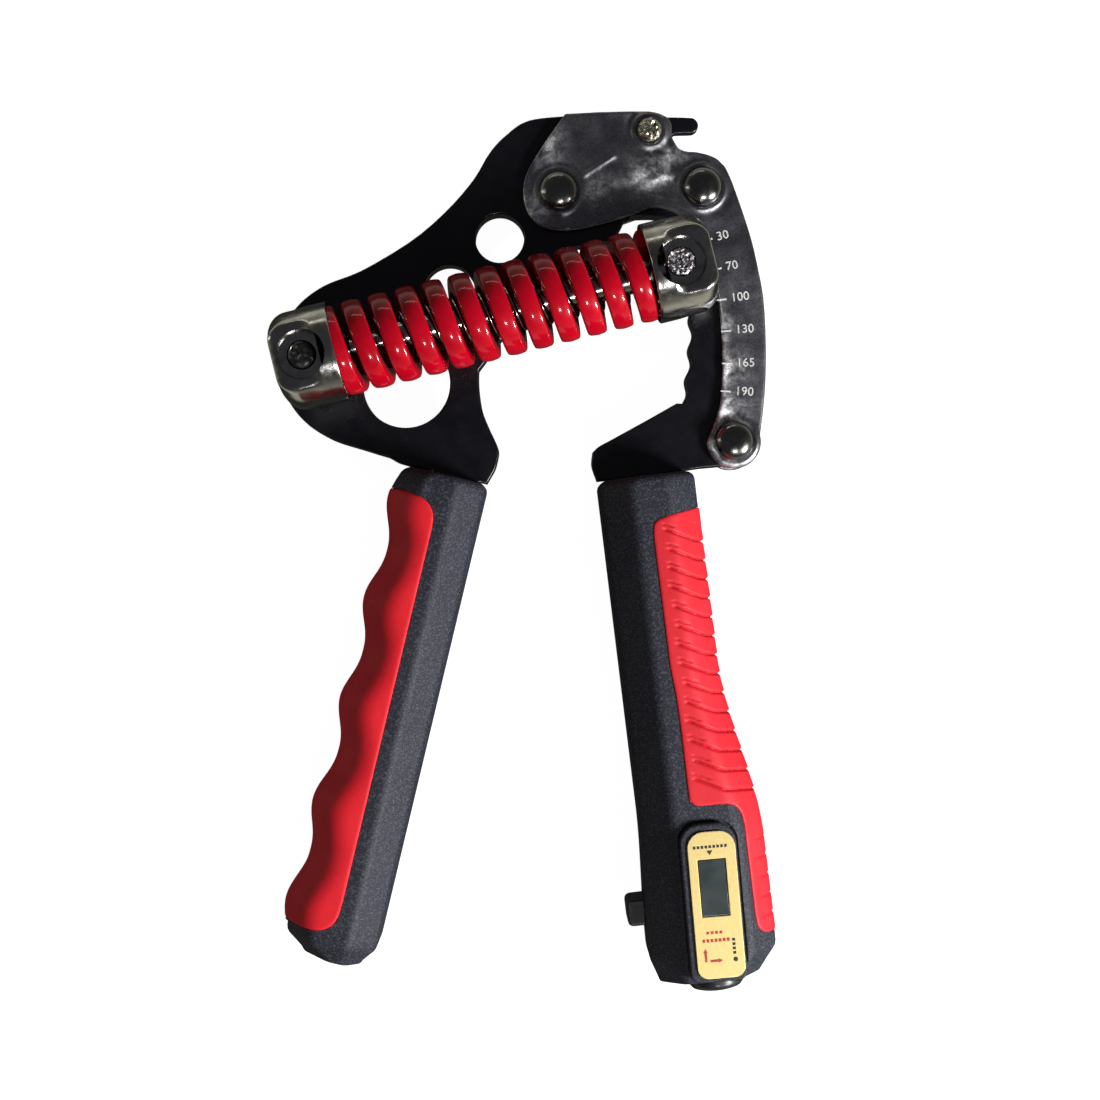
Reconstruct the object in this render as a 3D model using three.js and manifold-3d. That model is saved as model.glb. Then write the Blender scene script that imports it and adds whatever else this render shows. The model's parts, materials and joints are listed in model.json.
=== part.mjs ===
// Hand strengthener with two pivoting handles, a heavy coil-spring strut, a notched
// strength scale and a squeeze counter in one handle.
//
// Millimetres. The tool lies on its back: +X to its right, +Y towards the pivot end, +Z out
// of its front face. Everything is drawn about the main pivot, with z = 0 at the middle of
// the two arm plates, and the last lines move it to the centre of its footprint.

import * as THREE from 'three';
import { mergeVertices } from 'three/addons/utils/BufferGeometryUtils.js';
import Module from 'manifold-3d';

const wasm = await Module();
wasm.setup();

// ---------------------------------------------------------------- driving dimensions

const GAP = 0.3; // running gap between neighbours
const DEG = Math.PI / 180;

const ARM_HALF = 3.0; // half the arm plates' thickness
const BRACKET_IN = ARM_HALF + GAP; // a bracket plate's inner face
const BRACKET_OUT = BRACKET_IN + 1.6; // and its outer face

const UPPER_RIVET = [32.2, 0.9];
const LOWER_RIVET = [39.3, -56.1];
const LEVER_SCREW = [20.3, 13.6];
const RIVET_R = 2.8;
const RIVET_HEAD_R = 4.3;
const RIVET_HEAD_H = 2.8;

const STRUT_PIN = [-55.3, -38.7]; // the strut's hinge on the left arm
const STRUT_ANGLE = 13.8 * DEG;
const STRUT_LENGTH = 83.7; // from that hinge to the pin in the rack
const STRUT_Z = 14.5; // the spring's axis, in front of the plates
const CAP_R = 11.0;
const CAP_FLAT = 8.6; // from the axis to each flat cheek
const CAP_BORE_R = 10.5;
const LEFT_CAP = { end: -6.5, floor: 3.7, mouth: 7.3 };
const RIGHT_CAP = { end: 7.3, floor: -3.0, mouth: -6.6 };
const CAP_PIN_R = 2.9;
const RACK_PIN_R = 2.2;
const SPRING_R = 8.1; // to the middle of the wire
const SPRING_WIRE_R = 2.15;
const SPRING_TURNS = 12;
const INNER_SPRING_R = 4.9;
const INNER_WIRE_R = 0.6;
const INNER_TURNS = 13;
const ROD_R = 2.0;
const TUBE_R = 3.3;
const TUBE_START = 19.7; // along the strut, from the left hinge
const BUFFER = { start: 7.0, end: 10.0, r: 3.6 }; // rubber stop pushed onto the guide rod
const ROD_FREE = 14; // from the guide rod's end to the floor of the right cap

const NOTCHES = 6;
const NOTCH_STORED = 1; // the pin lies in the second notch
const NOTCH_PITCH = 4.58 * DEG; // swing of the strut from one notch to the next
const NOTCH_DEPTH = 0.9;
const NOTCH_PRELOAD = 8.6; // mm that the strut shortens per radian of swing
const RACK_GAP = 0.5; // the open pivot's clearance

const HANDLE_MID = 3.0; // z of the handles' middle plane
const HANDLE_HALF = 12.5; // half the handles' depth
const SIDE_HALF = 7.0; // half the height of the handles' flat sides
const TANG_HALF_W = 5.5;
const TANG_LENGTH = 68;
const LEFT_TILT = -13.4 * DEG;
const RIGHT_TILT = 7.0 * DEG;
const LEFT_CORNER = [-15.9, -66.0]; // the left handle's upper inner corner
const RIGHT_CORNER = [8.6, -65.4]; // the right handle's upper inner corner
const LEFT_LENGTH = 110;
const RIGHT_LENGTH = 111.5;
const GROOVE_PITCH = 23.0; // finger to finger
const GROOVE_DEPTH = 2.6;
const CORE_INSET = 2.6; // thickness of the soft pads
const SEAM = 0.1; // half the gap between the handle shells

const COUNTER_CENTRE = [33.3, -157.0];
const COUNTER_TILT = 5.0 * DEG;
const COUNTER_HALF_L = 17.3;
const COUNTER_HALF_W = 6.2;
const FRONT_Z = HANDLE_MID + HANDLE_HALF;

// ---------------------------------------------------------------- colours

const finish = {
  blackSteel: { color: 0x0b0b0d, roughness: 0.28, metalness: 0.3 },
  darkNickel: { color: 0x6d6c70, roughness: 0.22, metalness: 1.0 },
  chrome: { color: 0xc9cacd, roughness: 0.12, metalness: 1.0 },
  zinc: { color: 0xa59b86, roughness: 0.45, metalness: 1.0 },
  springRed: { color: 0xc41522, roughness: 0.22, metalness: 0.1 },
  charcoal: { color: 0x34323a, roughness: 0.78, metalness: 0.0 },
  padRed: { color: 0xd9262f, roughness: 0.62, metalness: 0.0 },
  blackPlastic: { color: 0x141416, roughness: 0.4, metalness: 0.0 },
  gold: { color: 0xd8bf6e, roughness: 0.35, metalness: 0.9 },
  lcd: { color: 0x16191a, roughness: 0.12, metalness: 0.0 },
  board: { color: 0x1c5a34, roughness: 0.6, metalness: 0.0 },
};

// ---------------------------------------------------------------- outlines and solids

function arc(cx, cy, r, from, to, steps) {
  const points = [];
  for (let i = 0; i <= steps; i += 1) {
    const a = (from + ((to - from) * i) / steps) * DEG;
    points.push([cx + r * Math.cos(a), cy + r * Math.sin(a)]);
  }
  return points;
}

function curve(points, steps) {
  const spline = new THREE.SplineCurve(points.map(([x, y]) => new THREE.Vector2(x, y)));
  return spline.getPoints(steps).map((p) => [p.x, p.y]);
}

function circle(cx, cy, r, steps = 20) {
  return arc(cx, cy, r, 0, 360 - 360 / steps, steps - 1);
}

// A flat plate between two heights, with holes given as outlines.
function plate(outline, z0, z1, holes = []) {
  const toVectors = (points) => points.map(([x, y]) => new THREE.Vector2(x, y));
  const shape = new THREE.Shape(toVectors(outline));
  shape.holes = holes.map((hole) => new THREE.Path(toVectors(hole)));
  const geometry = new THREE.ExtrudeGeometry(shape, { depth: z1 - z0, bevelEnabled: false });
  return geometry.translate(0, 0, z0);
}

function box(x0, x1, y0, y1, z0, z1) {
  const geometry = new THREE.BoxGeometry(x1 - x0, y1 - y0, z1 - z0);
  return geometry.translate((x0 + x1) / 2, (y0 + y1) / 2, (z0 + z1) / 2);
}

// A turned piece about Z from [radius, height] points, bottom to top.
function turned(profile, segments = 16) {
  const points = profile.map(([r, h]) => new THREE.Vector2(r, h));
  const geometry = new THREE.LatheGeometry(points, segments);
  return geometry.rotateX(Math.PI / 2);
}

function rod(r, z0, z1, segments = 16) {
  return turned([[0, z0], [r, z0], [r, z1], [0, z1]], segments);
}

function ring(inner, outer, z0, z1, segments = 20) {
  const profile = [[inner, z0], [outer, z0], [outer, z1], [inner, z1], [inner, z0]];
  return turned(profile, segments);
}

// Turns a piece made about Z so that it lies about X.
function alongX(geometry) {
  return geometry.rotateY(Math.PI / 2);
}

function toSolid(geometry) {
  const bare = geometry.clone();
  bare.deleteAttribute('normal');
  bare.deleteAttribute('uv');
  const merged = mergeVertices(bare, 1e-4);
  return new wasm.Manifold(new wasm.Mesh({
    numProp: 3,
    vertProperties: new Float32Array(merged.attributes.position.array),
    triVerts: new Uint32Array(merged.index.array),
  }));
}

function fromSolid(solid) {
  const mesh = solid.getMesh();
  const geometry = new THREE.BufferGeometry();
  geometry.setAttribute('position', new THREE.BufferAttribute(mesh.vertProperties, 3));
  geometry.setIndex(new THREE.BufferAttribute(mesh.triVerts, 1));
  geometry.computeVertexNormals();
  return geometry;
}

function cut(geometry, ...tools) {
  const solid = tools.reduce((left, tool) => left.subtract(toSolid(tool)), toSolid(geometry));
  return fromSolid(solid);
}

function common(geometry, other) {
  return fromSolid(toSolid(geometry).intersect(toSolid(other)));
}

function joined(geometry, ...others) {
  const solid = others.reduce((sum, other) => sum.add(toSolid(other)), toSolid(geometry));
  return fromSolid(solid);
}

function piece(parent, name, geometry, look) {
  const mesh = new THREE.Mesh(geometry, new THREE.MeshStandardMaterial(look));
  mesh.name = name;
  parent.add(mesh);
  return mesh;
}

function placed(parent, [x, y], z, angle) {
  const group = new THREE.Group();
  group.position.set(x, y, z);
  group.rotation.z = angle;
  parent.add(group);
  return group;
}

// A geometry drawn in a group's frame, moved into its parent's frame.
function inParent(geometry, group) {
  group.updateMatrix();
  return geometry.clone().applyMatrix4(group.matrix);
}

// A helical wire about X, from x0 to x1, turning from +Y towards +Z.
class Helix extends THREE.Curve {
  constructor(radius, x0, x1, turns) {
    super();
    Object.assign(this, { radius, x0, x1, turns });
  }

  getPoint(t, target = new THREE.Vector3()) {
    const a = 2 * Math.PI * this.turns * t;
    const x = this.x0 + (this.x1 - this.x0) * t;
    return target.set(x, this.radius * Math.cos(a), this.radius * Math.sin(a));
  }
}

function wire(radius, wireR, x0, x1, turns, stepsPerTurn, sides) {
  const path = new Helix(radius, x0, x1, turns);
  path.arcLengthDivisions = 40 * turns;
  const section = new THREE.Shape(circle(0, 0, wireR, sides).map(([x, y]) => new THREE.Vector2(x, y)));
  return new THREE.ExtrudeGeometry(section, { steps: stepsPerTurn * turns, extrudePath: path });
}

// ---------------------------------------------------------------- the handles' solids

// A bar with a flat-sided octagonal section. Each station is
// { s, t0, t1, half, side, b0, b1 }: distance down the bar, left and right edges, half
// the depth, half the height of the flat sides, and the width of the left and right bevels.
function octagonBar(stations) {
  const positions = [];
  for (const { s, t0, t1, half, side, b0, b1 } of stations) {
    const section = [
      [t0, -side], [t0 + b0, -half], [t1 - b1, -half], [t1, -side],
      [t1, side], [t1 - b1, half], [t0 + b0, half], [t0, side],
    ];
    for (const [t, z] of section) positions.push(t, -s, HANDLE_MID + z);
  }
  const index = [];
  const last = 8 * (stations.length - 1);
  for (let ringStart = 0; ringStart < last; ringStart += 8) {
    for (let i = 0; i < 8; i += 1) {
      const a = ringStart + i;
      const b = ringStart + ((i + 1) % 8);
      index.push(a, b, b + 8, a, b + 8, a + 8);
    }
  }
  for (let i = 1; i < 7; i += 1) {
    index.push(0, i + 1, i);
    index.push(last, last + i, last + i + 1);
  }
  const geometry = new THREE.BufferGeometry();
  geometry.setAttribute('position', new THREE.Float32BufferAttribute(positions, 3));
  geometry.setIndex(index);
  return geometry;
}

const DEEP = 40; // past every face of a handle

function region(outline) {
  return plate(outline, -DEEP, DEEP);
}

// Splits a handle into its two shells and its soft pad. "skin" is the pad's outline, drawn
// once at its own size and once grown by the gap; "core" is what the pad wraps round.
function handlePieces(bar, core, coreSmaller, skin, skinGrown) {
  const pad = fromSolid(toSolid(bar).intersect(toSolid(region(skin))).subtract(toSolid(core)));
  const wrapped = toSolid(region(skinGrown)).subtract(toSolid(coreSmaller));
  const body = fromSolid(toSolid(bar).subtract(wrapped));
  const front = common(body, box(-DEEP, DEEP, -200, DEEP, HANDLE_MID + SEAM, DEEP));
  const back = common(body, box(-DEEP, DEEP, -200, DEEP, -DEEP, HANDLE_MID - SEAM));
  return { pad, front, back };
}

function tang(t, grow) {
  return box(t - TANG_HALF_W - grow, t + TANG_HALF_W + grow, -TANG_LENGTH - grow, 4,
    -ARM_HALF - grow, ARM_HALF + (grow ? 2 * grow : 0));
}

// Self-tapping screws that come in from the back, through the tang.
const SCREW = { shaft: 1.2, head: 2.1, headDepth: 2.0, recess: 3.2, tip: 9.5 };
const SCREW_ROWS = [22, 52];

function screw(t, s) {
  const back = HANDLE_MID - HANDLE_HALF + SCREW.recess;
  const profile = [
    [0, back - SCREW.headDepth], [SCREW.head, back - SCREW.headDepth], [SCREW.head, back],
    [SCREW.shaft, back], [SCREW.shaft, SCREW.tip - 1], [0, SCREW.tip],
  ];
  return turned(profile, 12).translate(t, -s, 0);
}

function screwHole(t, s) {
  const back = HANDLE_MID - HANDLE_HALF;
  const profile = [
    [0, back - 1], [SCREW.head + GAP, back - 1], [SCREW.head + GAP, back + SCREW.recess + GAP],
    [SCREW.shaft + GAP, back + SCREW.recess + GAP], [SCREW.shaft + GAP, SCREW.tip + GAP],
    [0, SCREW.tip + GAP],
  ];
  return turned(profile, 12).translate(t, -s, 0);
}

// ---------------------------------------------------------------- left handle

const LEFT_TANG_T = -7.6;
const LEFT_SCREW_T = -6.2;
const LEFT_WIDTH = 18.2; // at the bottom of a finger groove
const RIDGE = 5.9; // width of the inner bevel

function leftWidth(s) {
  const wave = 0.5 + 0.5 * Math.cos((2 * Math.PI * (s - 7.5)) / GROOVE_PITCH);
  const flare = 1.4 * THREE.MathUtils.smoothstep(s, 55, 100);
  return LEFT_WIDTH + flare + GROOVE_DEPTH * wave ** 1.2;
}

function leftBar() {
  const station = (s, inset = 0) => ({
    s, t0: -leftWidth(s) + inset, t1: -inset, half: HANDLE_HALF - inset, side: SIDE_HALF - inset / 2,
    b0: 6, b1: RIDGE,
  });
  const stations = [station(0, 1.4), station(1.6)];
  for (let s = 5; s <= 101; s += 4) stations.push(station(s));
  stations.push(station(105.5));
  stations.push({ s: LEFT_LENGTH, t0: -15.8, t1: -2.8, half: 10.2, side: 5.2, b0: 6, b1: 3.2 });
  return octagonBar(stations);
}

function leftCore(shrink) {
  const section = {
    t0: -LEFT_WIDTH + CORE_INSET + shrink, t1: DEEP, half: HANDLE_HALF - CORE_INSET - shrink,
    side: 5.6 - shrink, b0: 5, b1: 5,
  };
  return octagonBar([{ ...section, s: -DEEP }, { ...section, s: 200 }]);
}

function leftSkin(grow) {
  const top = 5.6 - grow;
  const edge = -9.3 + grow;
  const bottom = 104 + grow;
  return [
    [-DEEP, -top], [-20, -top],
    ...curve([[-15, -top], [-11.2, -top - 1.6], [edge, -top - 6]], 6),
    ...curve([[edge, -97], [-10.2, -bottom + 1.8], [-13.5, -bottom]], 6),
    [-20, -bottom + 1.2], [-DEEP, -bottom + 1.2],
  ];
}

function addLeftHandle(parent) {
  const group = placed(parent, LEFT_CORNER, 0, LEFT_TILT);
  const parts = handlePieces(leftBar(), leftCore(0), leftCore(GAP), leftSkin(0), leftSkin(GAP));
  const holes = SCREW_ROWS.map((s) => screwHole(LEFT_SCREW_T, s));
  piece(group, 'left_handle_front', cut(parts.front, ...holes), finish.charcoal);
  piece(group, 'left_handle_back', cut(parts.back, tang(LEFT_TANG_T, GAP), ...holes), finish.charcoal);
  piece(group, 'left_grip_pad', parts.pad, finish.padRed);
  SCREW_ROWS.forEach((s, i) => {
    piece(group, `left_handle_screw_${i + 1}`, screw(LEFT_SCREW_T, s), finish.zinc);
  });
  return group;
}

// ---------------------------------------------------------------- right handle

const RIGHT_TANG_T = 9.5;
const RIGHT_SCREW_T = 6.6;

function rightEdges(s) {
  const smooth = THREE.MathUtils.smoothstep;
  return {
    t0: -1.5 * smooth(s, 74, 106),
    t1: 21.4 + 5.4 * smooth(s, 42, 82),
  };
}

function rightBar() {
  const station = (s, inset = 0) => {
    const { t0, t1 } = rightEdges(s);
    return {
      s, t0: t0 + inset, t1: t1 - inset, half: HANDLE_HALF - inset, side: SIDE_HALF - inset / 2,
      b0: 7, b1: 6,
    };
  };
  const stations = [station(0, 1.4), station(1.6)];
  for (let s = 40; s <= 100; s += 6) stations.push(station(s));
  stations.push(station(106));
  stations.push({ s: RIGHT_LENGTH, t0: 0.2, t1: 22.6, half: 11.6, side: 6, b0: 5.4, b1: 4.6 });
  return octagonBar(stations);
}

function rightCore(shrink) {
  const stations = [-DEEP, 42, 52, 62, 72, 82, 200].map((s) => ({
    s, t0: -DEEP, t1: rightEdges(s).t1 - CORE_INSET - shrink,
    half: HANDLE_HALF - CORE_INSET + 0.4 - shrink, side: 5.6 - shrink, b0: 5, b1: 5.4,
  }));
  return octagonBar(stations);
}

function rightSkin(grow) {
  const edge = 10.3 - grow;
  const top = 8.4 - grow;
  const tail = 22.4 - grow;
  const foot = 73 + grow;
  return [
    [DEEP, -top], [20, -top],
    ...curve([[14.5, -top - 0.3], [11.3, -top - 1.4], [edge, -top - 5]], 6),
    [edge, -42], [edge + 0.7, -55], [edge + 0.7, -foot + 2],
    ...curve([[edge + 1, -foot + 0.6], [edge + 2.6, -foot], [19.5, -foot]], 4),
    ...curve([[21.5, -foot - 1.6], [tail, -foot - 5], [tail, -foot - 10]], 4),
    [tail, -103 - grow], [DEEP, -103 - grow],
  ];
}

// The counter's pocket, button bore and plunger guide, cut into both shells.
const KNOB = { t: 12.8, z: 6.0, r: 6.1, floor: 104.5, out: 114.6 };
const PLUNGER = { s: 96.2, halfH: 3.1, halfD: 4.0, out: -5.2, length: 11.0, travel: 3.5 };
const POCKET = { halfW: 5.5, up: 15.6, down: -8.6, floor: 2.2 };

function knobBore() {
  const bore = rod(KNOB.r + GAP, -1, 30, 20).rotateX(Math.PI / 2);
  return bore.translate(KNOB.t, -KNOB.floor + 0.3, KNOB.z);
}

function plungerGuide() {
  const { s, halfH, halfD, out, length, travel } = PLUNGER;
  return box(out - 6, out + length + travel + GAP, -s - halfH - GAP, -s + halfH + GAP,
    HANDLE_MID - halfD - GAP, HANDLE_MID + halfD + GAP);
}

function addRightHandle(parent) {
  const group = placed(parent, RIGHT_CORNER, 0, RIGHT_TILT);
  const parts = handlePieces(
    rightBar(), rightCore(0), rightCore(GAP), rightSkin(0), rightSkin(GAP),
  );
  const holes = SCREW_ROWS.map((s) => screwHole(RIGHT_SCREW_T, s));
  const pocket = counterPocket(group);
  const stem = rod(2.3, -1, 6, 12).rotateX(Math.PI / 2).translate(KNOB.t, -KNOB.floor + 6, KNOB.z);
  const tools = [knobBore(), plungerGuide(), pocket, stem];
  piece(group, 'right_handle_front', cut(parts.front, ...holes, ...tools), finish.charcoal);
  piece(group, 'right_handle_back', cut(parts.back, tang(RIGHT_TANG_T, GAP), ...holes, ...tools),
    finish.charcoal);
  piece(group, 'right_grip_pad', parts.pad, finish.padRed);
  SCREW_ROWS.forEach((s, i) => {
    piece(group, `right_handle_screw_${i + 1}`, screw(RIGHT_SCREW_T, s), finish.zinc);
  });
  addButtons(group);
  return group;
}

// ---------------------------------------------------------------- counter

function placedCounter(parent) {
  return placed(parent, COUNTER_CENTRE, 0, COUNTER_TILT);
}

// The pocket is drawn in the counter's frame and moved into the right handle's frame.
function counterPocket(handle) {
  const { halfW, up, down, floor } = POCKET;
  handle.updateMatrix();
  const counter = placedCounter(new THREE.Group());
  const pocket = inParent(box(-halfW, halfW, down, up, floor, DEEP), counter);
  return pocket.applyMatrix4(handle.matrix.clone().invert());
}

// A strip with round ends: rounder at the top than at the foot.
function strip(left, right, up, down, roundTop, roundFoot) {
  return [
    ...arc(right - roundFoot, down + roundFoot, roundFoot, -90, 0, 4),
    ...arc(right - roundTop, up - roundTop, roundTop, 0, 90, 6),
    ...arc(left + roundTop, up - roundTop, roundTop, 90, 180, 6),
    ...arc(left + roundFoot, down + roundFoot, roundFoot, 180, 270, 4),
  ];
}

const WINDOW = [[-2.9, -2.9], [2.9, -2.9], [2.9, 9.6], [-2.9, 9.6]];
const BEZEL_TOP = FRONT_Z + 1.5;

function addCounter(parent) {
  const group = placedCounter(parent);
  const half = COUNTER_HALF_L;
  const bezelOutline = strip(-COUNTER_HALF_W, COUNTER_HALF_W, half, -half, 4.5, 2);
  const plateOutline = strip(-4.6, 5.8, half - 1.7, -half + 1.0, 3.6, 2.4);
  const hole = WINDOW.map(([x, y]) => [x * 1.06 + 0.4, y]);
  piece(group, 'counter_bezel', plate(bezelOutline, FRONT_Z + 0.1, BEZEL_TOP, [hole]),
    finish.blackPlastic);
  piece(group, 'counter_faceplate', plate(plateOutline, BEZEL_TOP + 0.05, BEZEL_TOP + 0.5, [hole]),
    finish.gold);
  piece(group, 'lcd_window', box(-2.3, 3.1, -2.6, 9.3, FRONT_Z + 0.4, BEZEL_TOP + 0.3), finish.lcd);
  piece(group, 'lcd_module', box(-4.2, 5.0, -4.5, 11, FRONT_Z - 2.6, FRONT_Z - 0.1), finish.lcd);
  piece(group, 'counter_board', box(-5.1, 5.1, -8.2, 15, FRONT_Z - 4.2, FRONT_Z - 2.9), finish.board);
  for (const [i, top] of [FRONT_Z - 4.5, FRONT_Z - 8.0].entries()) {
    const cell = rod(3.95, top - 3.3, top, 20).translate(0, 10.4, 0);
    piece(group, `button_cell_${i + 1}`, cell, finish.chrome);
  }
  const underBoard = FRONT_Z - 4.5;
  piece(group, 'count_switch', box(-3.9, -0.6, -4.2, -0.8, 3.5, underBoard), finish.blackPlastic);
  piece(group, 'reset_switch', box(-2.2, 1.4, -7.6, -5.0, 3.5, underBoard), finish.blackPlastic);
  return group;
}

// The squeeze plunger in the handle's inner side and the round reset button in its foot.
function addButtons(group) {
  const { s, halfH, halfD, out, length } = PLUNGER;
  const tip = [
    ...arc(out + 1.4, -s - halfH + 1.4, 1.4, 270, 180, 4),
    ...arc(out + 1.4, -s + halfH - 1.4, 1.4, 180, 90, 4),
    [out + length, -s + halfH], [out + length, -s - halfH],
  ].reverse();
  const plunger = plate(tip, HANDLE_MID - halfD, HANDLE_MID + halfD);
  piece(group, 'count_plunger', plunger, finish.blackPlastic);

  const coil = wire(2.0, 0.35, 0, 3.0, 3, 8, 5);
  piece(group, 'plunger_spring', coil.translate(out + length + 0.45, -s, HANDLE_MID), finish.chrome);

  const depth = KNOB.out - KNOB.floor - 2;
  const knob = turned([
    [0, -3.2], [1.8, -3.2], [1.8, 0], [KNOB.r, 0], [KNOB.r, depth - 1.2],
    [KNOB.r - 0.4, depth - 0.4], [KNOB.r - 1.3, depth], [0, depth],
  ], 24);
  const down = knob.rotateX(Math.PI / 2).translate(KNOB.t, -KNOB.floor - 2, KNOB.z);
  piece(group, 'reset_button', down, finish.blackPlastic);

  const resetCoil = wire(3.2, 0.35, 0, 1.2, 2, 8, 5).rotateZ(-Math.PI / 2);
  piece(group, 'reset_spring', resetCoil.translate(KNOB.t, -KNOB.floor - 0.35, KNOB.z), finish.chrome);
}

// ---------------------------------------------------------------- left arm

function addLeftArm(parent, handle) {
  const outline = [
    ...curve([
      [4, 17.5], [-6.5, 16.4], [-11.9, 13], [-15.6, 9], [-19.3, 2.9], [-25.2, -3.9], [-33.1, -10.7],
      [-44.3, -17.4], [-52.9, -20.9], [-58.8, -25.4], [-62.4, -31.4], [-63.3, -38], [-61.7, -45.2],
      [-57.6, -51.2], [-51.5, -55.4], [-43.9, -57.9], [-38.4, -59.6],
    ], 50),
    [-35.9, -60.9], [-16.2, -65.6],
    ...curve([[-14.4, -62.4], [-13.5, -58.2], [-15.2, -54], [-17.2, -49], [-18, -43.5], [-18, -39.9]], 10),
    ...curve([[-14.8, -35.6], [-6, -23.7], [2.8, -12.2]], 4),
    ...arc(0, 0, 16, -42, 60, 10),
  ].reverse();
  const holes = [
    circle(-13.3, -10.2, 5.5, 24), circle(-24.6, -22, 5.8, 24), circle(-34.5, -42.9, 10, 32),
    circle(0, 0, RIVET_R + 1.5, 20), circle(...STRUT_PIN, CAP_PIN_R + GAP, 20),
  ];
  const body = plate(outline, -ARM_HALF, ARM_HALF, holes);
  const tangSolid = tang(LEFT_TANG_T, 0);
  const drills = SCREW_ROWS.map((s) => inParent(screwHole(LEFT_SCREW_T, s), handle));
  const arm = cut(joined(body, inParent(tangSolid, handle)), ...drills);
  piece(parent, 'left_arm', arm, finish.blackSteel);
  piece(parent, 'pivot_bush', ring(RIVET_R + GAP, RIVET_R + 1.2, -ARM_HALF, ARM_HALF), finish.zinc);
}

// ---------------------------------------------------------------- right arm and its rack

// Where the rack pin's centre lies when the strut has swung by an angle.
function rackRadius(swing) {
  return STRUT_LENGTH + NOTCH_PRELOAD * swing;
}

function rackEdge() {
  const points = [];
  const perNotch = 6;
  for (let i = -2; i <= (NOTCHES - 1) * perNotch + 2; i += 1) {
    const swing = NOTCH_PITCH * (NOTCH_STORED - i / perNotch);
    const scallop = NOTCH_DEPTH * (0.5 + 0.5 * Math.cos((2 * Math.PI * i) / perNotch));
    const r = rackRadius(swing) + RACK_PIN_R + RACK_GAP + scallop;
    const a = STRUT_ANGLE + swing;
    points.push([STRUT_PIN[0] + r * Math.cos(a), STRUT_PIN[1] + r * Math.sin(a)]);
  }
  return points;
}

function addRightArm(parent, handle) {
  const outline = [
    ...arc(0, 0, 16.9, 26, -18, 8),
    ...curve([[20.5, -5.1], [24.5, -5.6], [27.6, -7.2]], 6),
    ...rackEdge(),
    ...curve([[26.6, -47.4], [19.9, -51.2], [9, -57.2]], 6),
    [7.7, -58.4], [7.5, -61.3], [8.7, -65.0], [29.4, -62.4],
    ...curve([[32, -62], [38.5, -61.2], [43.2, -58.8], [44.6, -54]], 9),
    ...curve([
      [45.3, -46], [45.5, -34.5], [45.1, -24.5], [43.5, -15.5], [40.8, -6], [37.8, 2.2], [35.2, 6],
      [31.5, 7.8], [26.5, 8.4], [21.5, 8.3],
    ], 24),
    [17.2, 7.7],
  ];
  const holes = [
    circle(...UPPER_RIVET, RIVET_R + GAP), circle(...LOWER_RIVET, RIVET_R + GAP),
  ];
  const body = plate(outline.reverse(), -ARM_HALF, ARM_HALF, holes);
  const tangSolid = tang(RIGHT_TANG_T, 0);
  const drills = SCREW_ROWS.map((s) => inParent(screwHole(RIGHT_SCREW_T, s), handle));
  const arm = cut(joined(body, inParent(tangSolid, handle)), ...drills);
  piece(parent, 'right_arm', arm, finish.blackSteel);
}

// ---------------------------------------------------------------- brackets, rivets, lever

function addBrackets(parent) {
  const outline = [
    [1.4, 17.4], [9.2, 17.8], [20, 18.0],
    ...curve([[22.3, 17.6], [24.4, 16.6], [25.3, 15]], 4),
    ...curve([[25.4, 12.4], [27.2, 9.4], [31.6, 8.7], [35.2, 7.5], [37.4, 5.4]], 9),
    ...curve([
      [38.8, 2.4], [41.2, -4.3], [43.3, -11], [44.8, -17.7], [46, -24.5], [46.5, -34.5],
      [46.3, -44.6], [45.4, -53],
    ], 18),
    ...arc(...LOWER_RIVET, 6.1, 14, -178, 16),
    ...curve([
      [34.4, -53], [36.3, -46.9], [36.7, -35.7], [35.8, -24.5], [33.9, -15.5], [31.6, -9.9],
      [29.2, -6.9], [25.8, -4.7], [21.5, -3.6], [18.2, -4.6], [13.7, -6.2], [7, -8], [1.4, -8.8],
      [-3.3, -8.2], [-6.7, -5.3], [-8, -0.9], [-7.4, 3.7], [-4.4, 9.1], [-1.2, 13.8],
    ], 44),
  ].reverse();
  const holes = [[0, 0], UPPER_RIVET, LOWER_RIVET].map(([x, y]) => circle(x, y, RIVET_R + GAP));
  holes.push(circle(...LEVER_SCREW, 2.3));
  piece(parent, 'front_bracket', plate(outline, BRACKET_IN, BRACKET_OUT, holes), finish.darkNickel);
  piece(parent, 'back_bracket', plate(outline, -BRACKET_OUT, -BRACKET_IN, holes), finish.darkNickel);
}

function addRivets(parent) {
  const seat = BRACKET_OUT + 0.1;
  const head = [];
  for (const a of [0, 25, 50, 72]) {
    head.push([RIVET_HEAD_R * Math.cos(a * DEG), seat + 0.5 + (RIVET_HEAD_H - 0.5) * Math.sin(a * DEG)]);
  }
  const half = [[RIVET_R, seat], [RIVET_HEAD_R, seat], ...head, [0, seat + RIVET_HEAD_H]];
  const mirrored = half.map(([r, z]) => [r, -z]).reverse();
  const places = { pivot_rivet: [0, 0], upper_rivet: UPPER_RIVET, lower_rivet: LOWER_RIVET };
  for (const [name, [x, y]] of Object.entries(places)) {
    piece(parent, name, turned([...mirrored, ...half], 18).translate(x, y, 0), finish.darkNickel);
  }
}

const LEVER_HALF = 1.3;
const NUT_BACK = HANDLE_MID - HANDLE_HALF; // level with the handles' backs

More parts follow.
